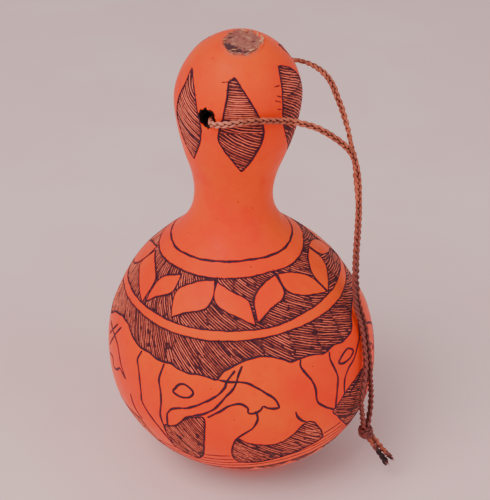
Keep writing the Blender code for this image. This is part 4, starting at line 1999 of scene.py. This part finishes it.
@dataclass
class PlaitedCord:
    """The hanging cord: three strands plaited flat, tied in one knot with two burnt and frayed tails.

    A strand has a radius, sways sideways and rises in the plait, and does so once in each pitch.
    """

    material: Material
    strand: float = 0.46
    sway: float = 0.59
    rise: float = 0.33
    pitch: float = 6.6
    sides: int = 8
    spacing: float = 0.42
    hairs: int = 16

    def even_path(self, points: Array) -> Array:
        """The path through some places, with a place at each section."""
        return resampled(points, spans(points), self.spacing)

    def route_path(self, route: tuple) -> Array:
        """A smooth path through a route's points, with a place at each section."""
        points = np.array(route, float)
        return self.even_path(smooth_curve(points, [10] * (len(points) - 1)))

    def frames(self, path: Array, start: Array, turns: Array) -> tuple[Array, Array]:
        """The plait's sideways and flat directions along a path.

        Args:
            path: the path's places.
            start: the direction that the plait's face looks in at the start.
            turns: how far the plait has turned at each place, in radians.

        Returns:
            The sideways and the outward direction at each place.
        """
        along = unit(np.gradient(path, axis=0))
        face = start - along[0] * (start @ along[0])
        sides, faces = [], []
        for tangent, turn in zip(along, turns):
            face = unit(face - tangent * (face @ tangent))
            side = np.cross(tangent, face)
            faces.append(face * math.cos(turn) + side * math.sin(turn))
            sides.append(np.cross(tangent, faces[-1]))
        return np.array(sides), np.array(faces)

    def plait(self, path: Array, start: tuple, turns: Array, spread: Array, burn_and_shade: Array,
              thin: Array) -> StrandBundle:
        """Three strands plaited along a path.

        Args:
            path: the cord's centreline, in millimetres.
            start: the direction that its face looks in at the start.
            turns: the plait's turn at each place.
            spread: how far the strands part at each place, 1 where they lie together.
            burn_and_shade: how burnt or soiled the fibre is at each place, from 0 to 1, raised as painted
                shade inside the shell, or how clean below 0.
            thin: each place's share of the full strand radius.

        Returns:
            The bundle of strands, not yet a mesh.
        """
        bundle = StrandBundle(self.sides)
        side, face = self.frames(path, np.array(start), turns)
        along = distance_along(spans(path))
        for number in range(3):
            phase = 2 * math.pi * (along / self.pitch + number / 3)
            swing = self.sway * spread * np.sin(phase)
            lift = self.rise * np.sin(2 * phase) * np.sqrt(spread)
            middle = path + side * swing[:, None] + face * lift[:, None]
            radii = self.strand * thin * (1 + 0.06 * np.sin(along * 2.7 + number))
            bundle.add(middle, face, radii, burn_and_shade, path)
        return bundle

    def loop(self) -> tuple[Object, Array]:
        """Makes the long loop through the head: soiled low down, clean by the hole, painted near-black as
        shade inside the shell.

        Returns:
            The finished piece, and its centreline in millimetres.
        """
        path = self.route_path((LOOP_ROOTS[0], *CORD_ROUTE, LOOP_ROOTS[1]))
        along = np.linspace(0.0, 1.0, len(path))
        turns = 2.2 * (1 - smooth_steps(along, 0.03, 0.27)) + 9.0 * smooth_steps(along, 0.50, 0.96)
        ones = np.ones(len(path))
        from_hole = np.linalg.norm(path - FRONT_MOUTH, axis=1)
        low_down = 1 - smooth_steps(path[:, 2], 60.0, 122.0)
        by_hole = 1 - smooth_steps(from_hole, 4.0, 15.0)
        in_shell = 1 - smooth_steps(np.hypot(path[:, 0] + 1.0, path[:, 1]), 15.5, 18.5)
        soil_and_shade = 0.42 * low_down - 0.25 * by_hole
        # Painted shade: the cord is painted near-black where it runs inside the shell
        soil_and_shade += in_shell * (path[:, 2] > 120.0)
        item = self.plait(path, (0.0, -1.0, 0.2), turns, ones, soil_and_shade, ones).piece("hanging_cord")
        return finish_piece(item, self.material), path

    def knot_path(self) -> Array:
        """Draws two turns round the doubled cord, and one pass back over them at the front.

        Returns:
            The knotted cord's centreline, in millimetres.
        """
        axis = unit(np.array([0.22, -0.02, -1.0]))
        front = np.array([0.0, -1.0, 0.0])
        front = unit(front - axis * (front @ axis))
        across = np.cross(axis, front)
        middle = np.array(KNOT_CENTRE) + (0.4, 0.0, -0.5)
        wound = np.linspace(0.0, 1.0, 72)
        back = np.linspace(0.0, 1.0, 24)[1:]
        angle = 2 * math.pi * (2.6 * wound + 0.3)
        angle = np.concatenate([angle, angle[-1] + 2 * math.pi * 0.62 * back])
        radius = np.concatenate([1.62 - 0.45 * (2 * wound - 1) ** 2, 1.17 + 0.85 * np.sin(math.pi * back)])
        down = np.concatenate([-1.9 + 3.7 * wound, 1.8 - 3.5 * back])
        spots = np.cos(angle)[:, None] * front + np.sin(angle)[:, None] * across
        return self.even_path(middle + spots * radius[:, None] + down[:, None] * axis)

    def knot(self) -> Object:
        """Makes the knot, pulled tight round the doubled cord.

        Returns:
            The finished piece.
        """
        path = self.knot_path()
        ones = np.ones(len(path))
        outward = tuple(path[0] - np.array(KNOT_CENTRE))
        rocking = 0.3 * np.sin(np.arange(len(path)) * 0.2)
        item = self.plait(path, outward, rocking, ones, ones * 0.6, ones * 1.05).piece("cord_knot_tied")
        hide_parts("cord_knot")
        return finish_piece(item, self.material)

    def tail(self, number: int) -> Object:
        """Makes one tail, whose strands part at its burnt and frayed tip.

        Args:
            number: which tail, from 0.

        Returns:
            The finished piece.
        """
        path = self.route_path(TAIL_ROUTES[number])
        along = np.linspace(0.0, 1.0, len(path))
        spread = 1 + 0.5 * smooth_steps(along, 0.72, 1.0)
        burn_and_shade = 0.15 + 0.75 * smooth_steps(along, 0.66 - 0.44 * number, 1.0 - 0.4 * number)
        thin = 1.08 - 0.5 * smooth_steps(along, 0.86, 1.0)
        bundle = self.plait(path, (0.0, -1.0, 0.3), 0.8 * number + 1.5 * along, spread, burn_and_shade, thin)
        self.fray(bundle, path, 40 + number)
        item = bundle.piece(f"cord_tail_{number + 1}_plait")
        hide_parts(f"cord_tail_{number + 1}")
        return finish_piece(item, self.material)

    def fray(self, bundle: StrandBundle, path: Array, seed: int) -> None:
        """Adds the loose hairs that spread from a tip.

        Args:
            bundle: the tail's strands.
            path: the tail's centreline, in millimetres.
            seed: the seed of the hairs' draws.
        """
        draws = np.random.default_rng(seed)
        heading = unit(path[-1] - path[-4])
        t = np.linspace(0.0, 1.0, 7)
        for _ in range(self.hairs):
            start = path[-1] - heading * draws.uniform(0.6, 2.0) + draws.normal(0.0, 0.34, 3)
            way = heading + draws.normal(0.0, 0.24, 3)
            curl = draws.normal(0.0, 0.25, 3)
            length = draws.uniform(1.2, 2.3)
            middle = start + way * length * t[:, None] + curl * t[:, None] ** 2
            up = np.tile(np.cross(way, curl), (len(t), 1))
            radii = draws.uniform(0.10, 0.18) * (1 - 0.7 * t)
            burn_and_shade = np.full(len(t), draws.uniform(0.45, 0.8)) - 0.35 * t
            bundle.add(middle, up, radii, burn_and_shade, middle + heading)

    def build(self) -> list[Object]:
        """Builds the loop, the knot and both tails.

        Returns:
            The finished pieces, the loop first.
        """
        cord, path = self.loop()
        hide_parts("cord")
        extras = [self.knot(), self.tail(0), self.tail(1)]
        return [cord, *extras]


# The studio


@dataclass(frozen=True)
class Softbox:
    """One soft square light that faces the gourd, in metres and watts."""

    name: str
    place: tuple
    size: float
    power: float
    colour: tuple
    aim: tuple = (0.0, 0.0, 0.07)

    def build(self) -> None:
        """Hangs the light."""
        data = bpy.data.lights.new(self.name, "AREA")
        data.size = self.size
        data.energy = self.power
        data.color = self.colour
        light = bpy.data.objects.new(self.name, data)
        light.location = self.place
        way = Vector(self.aim) - light.location
        light.rotation_euler = way.to_track_quat("-Z", "Y").to_euler()
        bpy.context.scene.collection.objects.link(light)


@dataclass
class Studio:
    """The camera, a large light from the upper left, a weak one from the right, the sky and the floor."""

    camera_place: tuple = (1.1, -342.9, 273.5)
    camera_tilt: float = 60.0
    lens: float = 88.2
    softboxes: tuple = (
        Softbox("key_light", (-0.62, -0.62, 1.12), 0.9, 14.5, (1.0, 0.95, 0.90)),
        Softbox("fill_light", (0.9, -0.6, 0.6), 1.0, 4.0, (1.0, 0.93, 0.90)),
    )
    sky: tuple = (1.0, 0.96, 0.95, 1.0)
    sky_strength: float = 0.48
    floor_width: float = 6.0

    def camera(self) -> None:
        """Stands the camera at the photograph's angle."""
        data = bpy.data.cameras.new("photo_camera")
        data.lens = self.lens
        data.sensor_width = 36.0
        data.clip_start = 0.01
        camera = bpy.data.objects.new("photo_camera", data)
        camera.location = Vector(self.camera_place) * MM
        camera.rotation_euler = (math.radians(self.camera_tilt), 0.0, 0.0)
        bpy.context.scene.collection.objects.link(camera)
        bpy.context.scene.camera = camera

    def lights(self) -> None:
        """Hangs the softboxes and lights the sky."""
        for softbox in self.softboxes:
            softbox.build()
        world = bpy.data.worlds.new("studio_sky")
        world.use_nodes = True
        background = world.node_tree.nodes["Background"]
        background.inputs["Color"].default_value = self.sky
        background.inputs["Strength"].default_value = self.sky_strength
        bpy.context.scene.world = world

    def floor(self) -> None:
        """Lays the wide pale floor that the gourd stands on."""
        clear_selection()
        bpy.ops.mesh.primitive_plane_add(size=self.floor_width, location=(0, 0, 0))
        floor = bpy.context.object
        floor.name = floor.data.name = "studio_floor"
        floor.data.materials.append(FloorFinish().build())

    def build(self) -> None:
        """Sets up everything round the gourd."""
        self.camera()
        self.lights()
        self.floor()


def main() -> None:
    """Builds the studio, the cord and the gourd, in that order."""
    logging.basicConfig(level=logging.INFO, format="%(name)s %(message)s")
    Studio().build()
    PlaitedCord(FibreFinish().build()).build()
    form = GourdForm()
    ground = CarvedGround(form)
    GourdShell(form, ground).build(RindFinish().build())
    StemScar(form).build(ChipFinish().build())
    work = CarvedWork(form, ground, SliverFinish().build(), CutFinish().build())
    work.head_hatching()
    work.shoulder_hatching()
    work.belly_hatching()
    work.drawing()


if __name__ == "__main__":
    main()
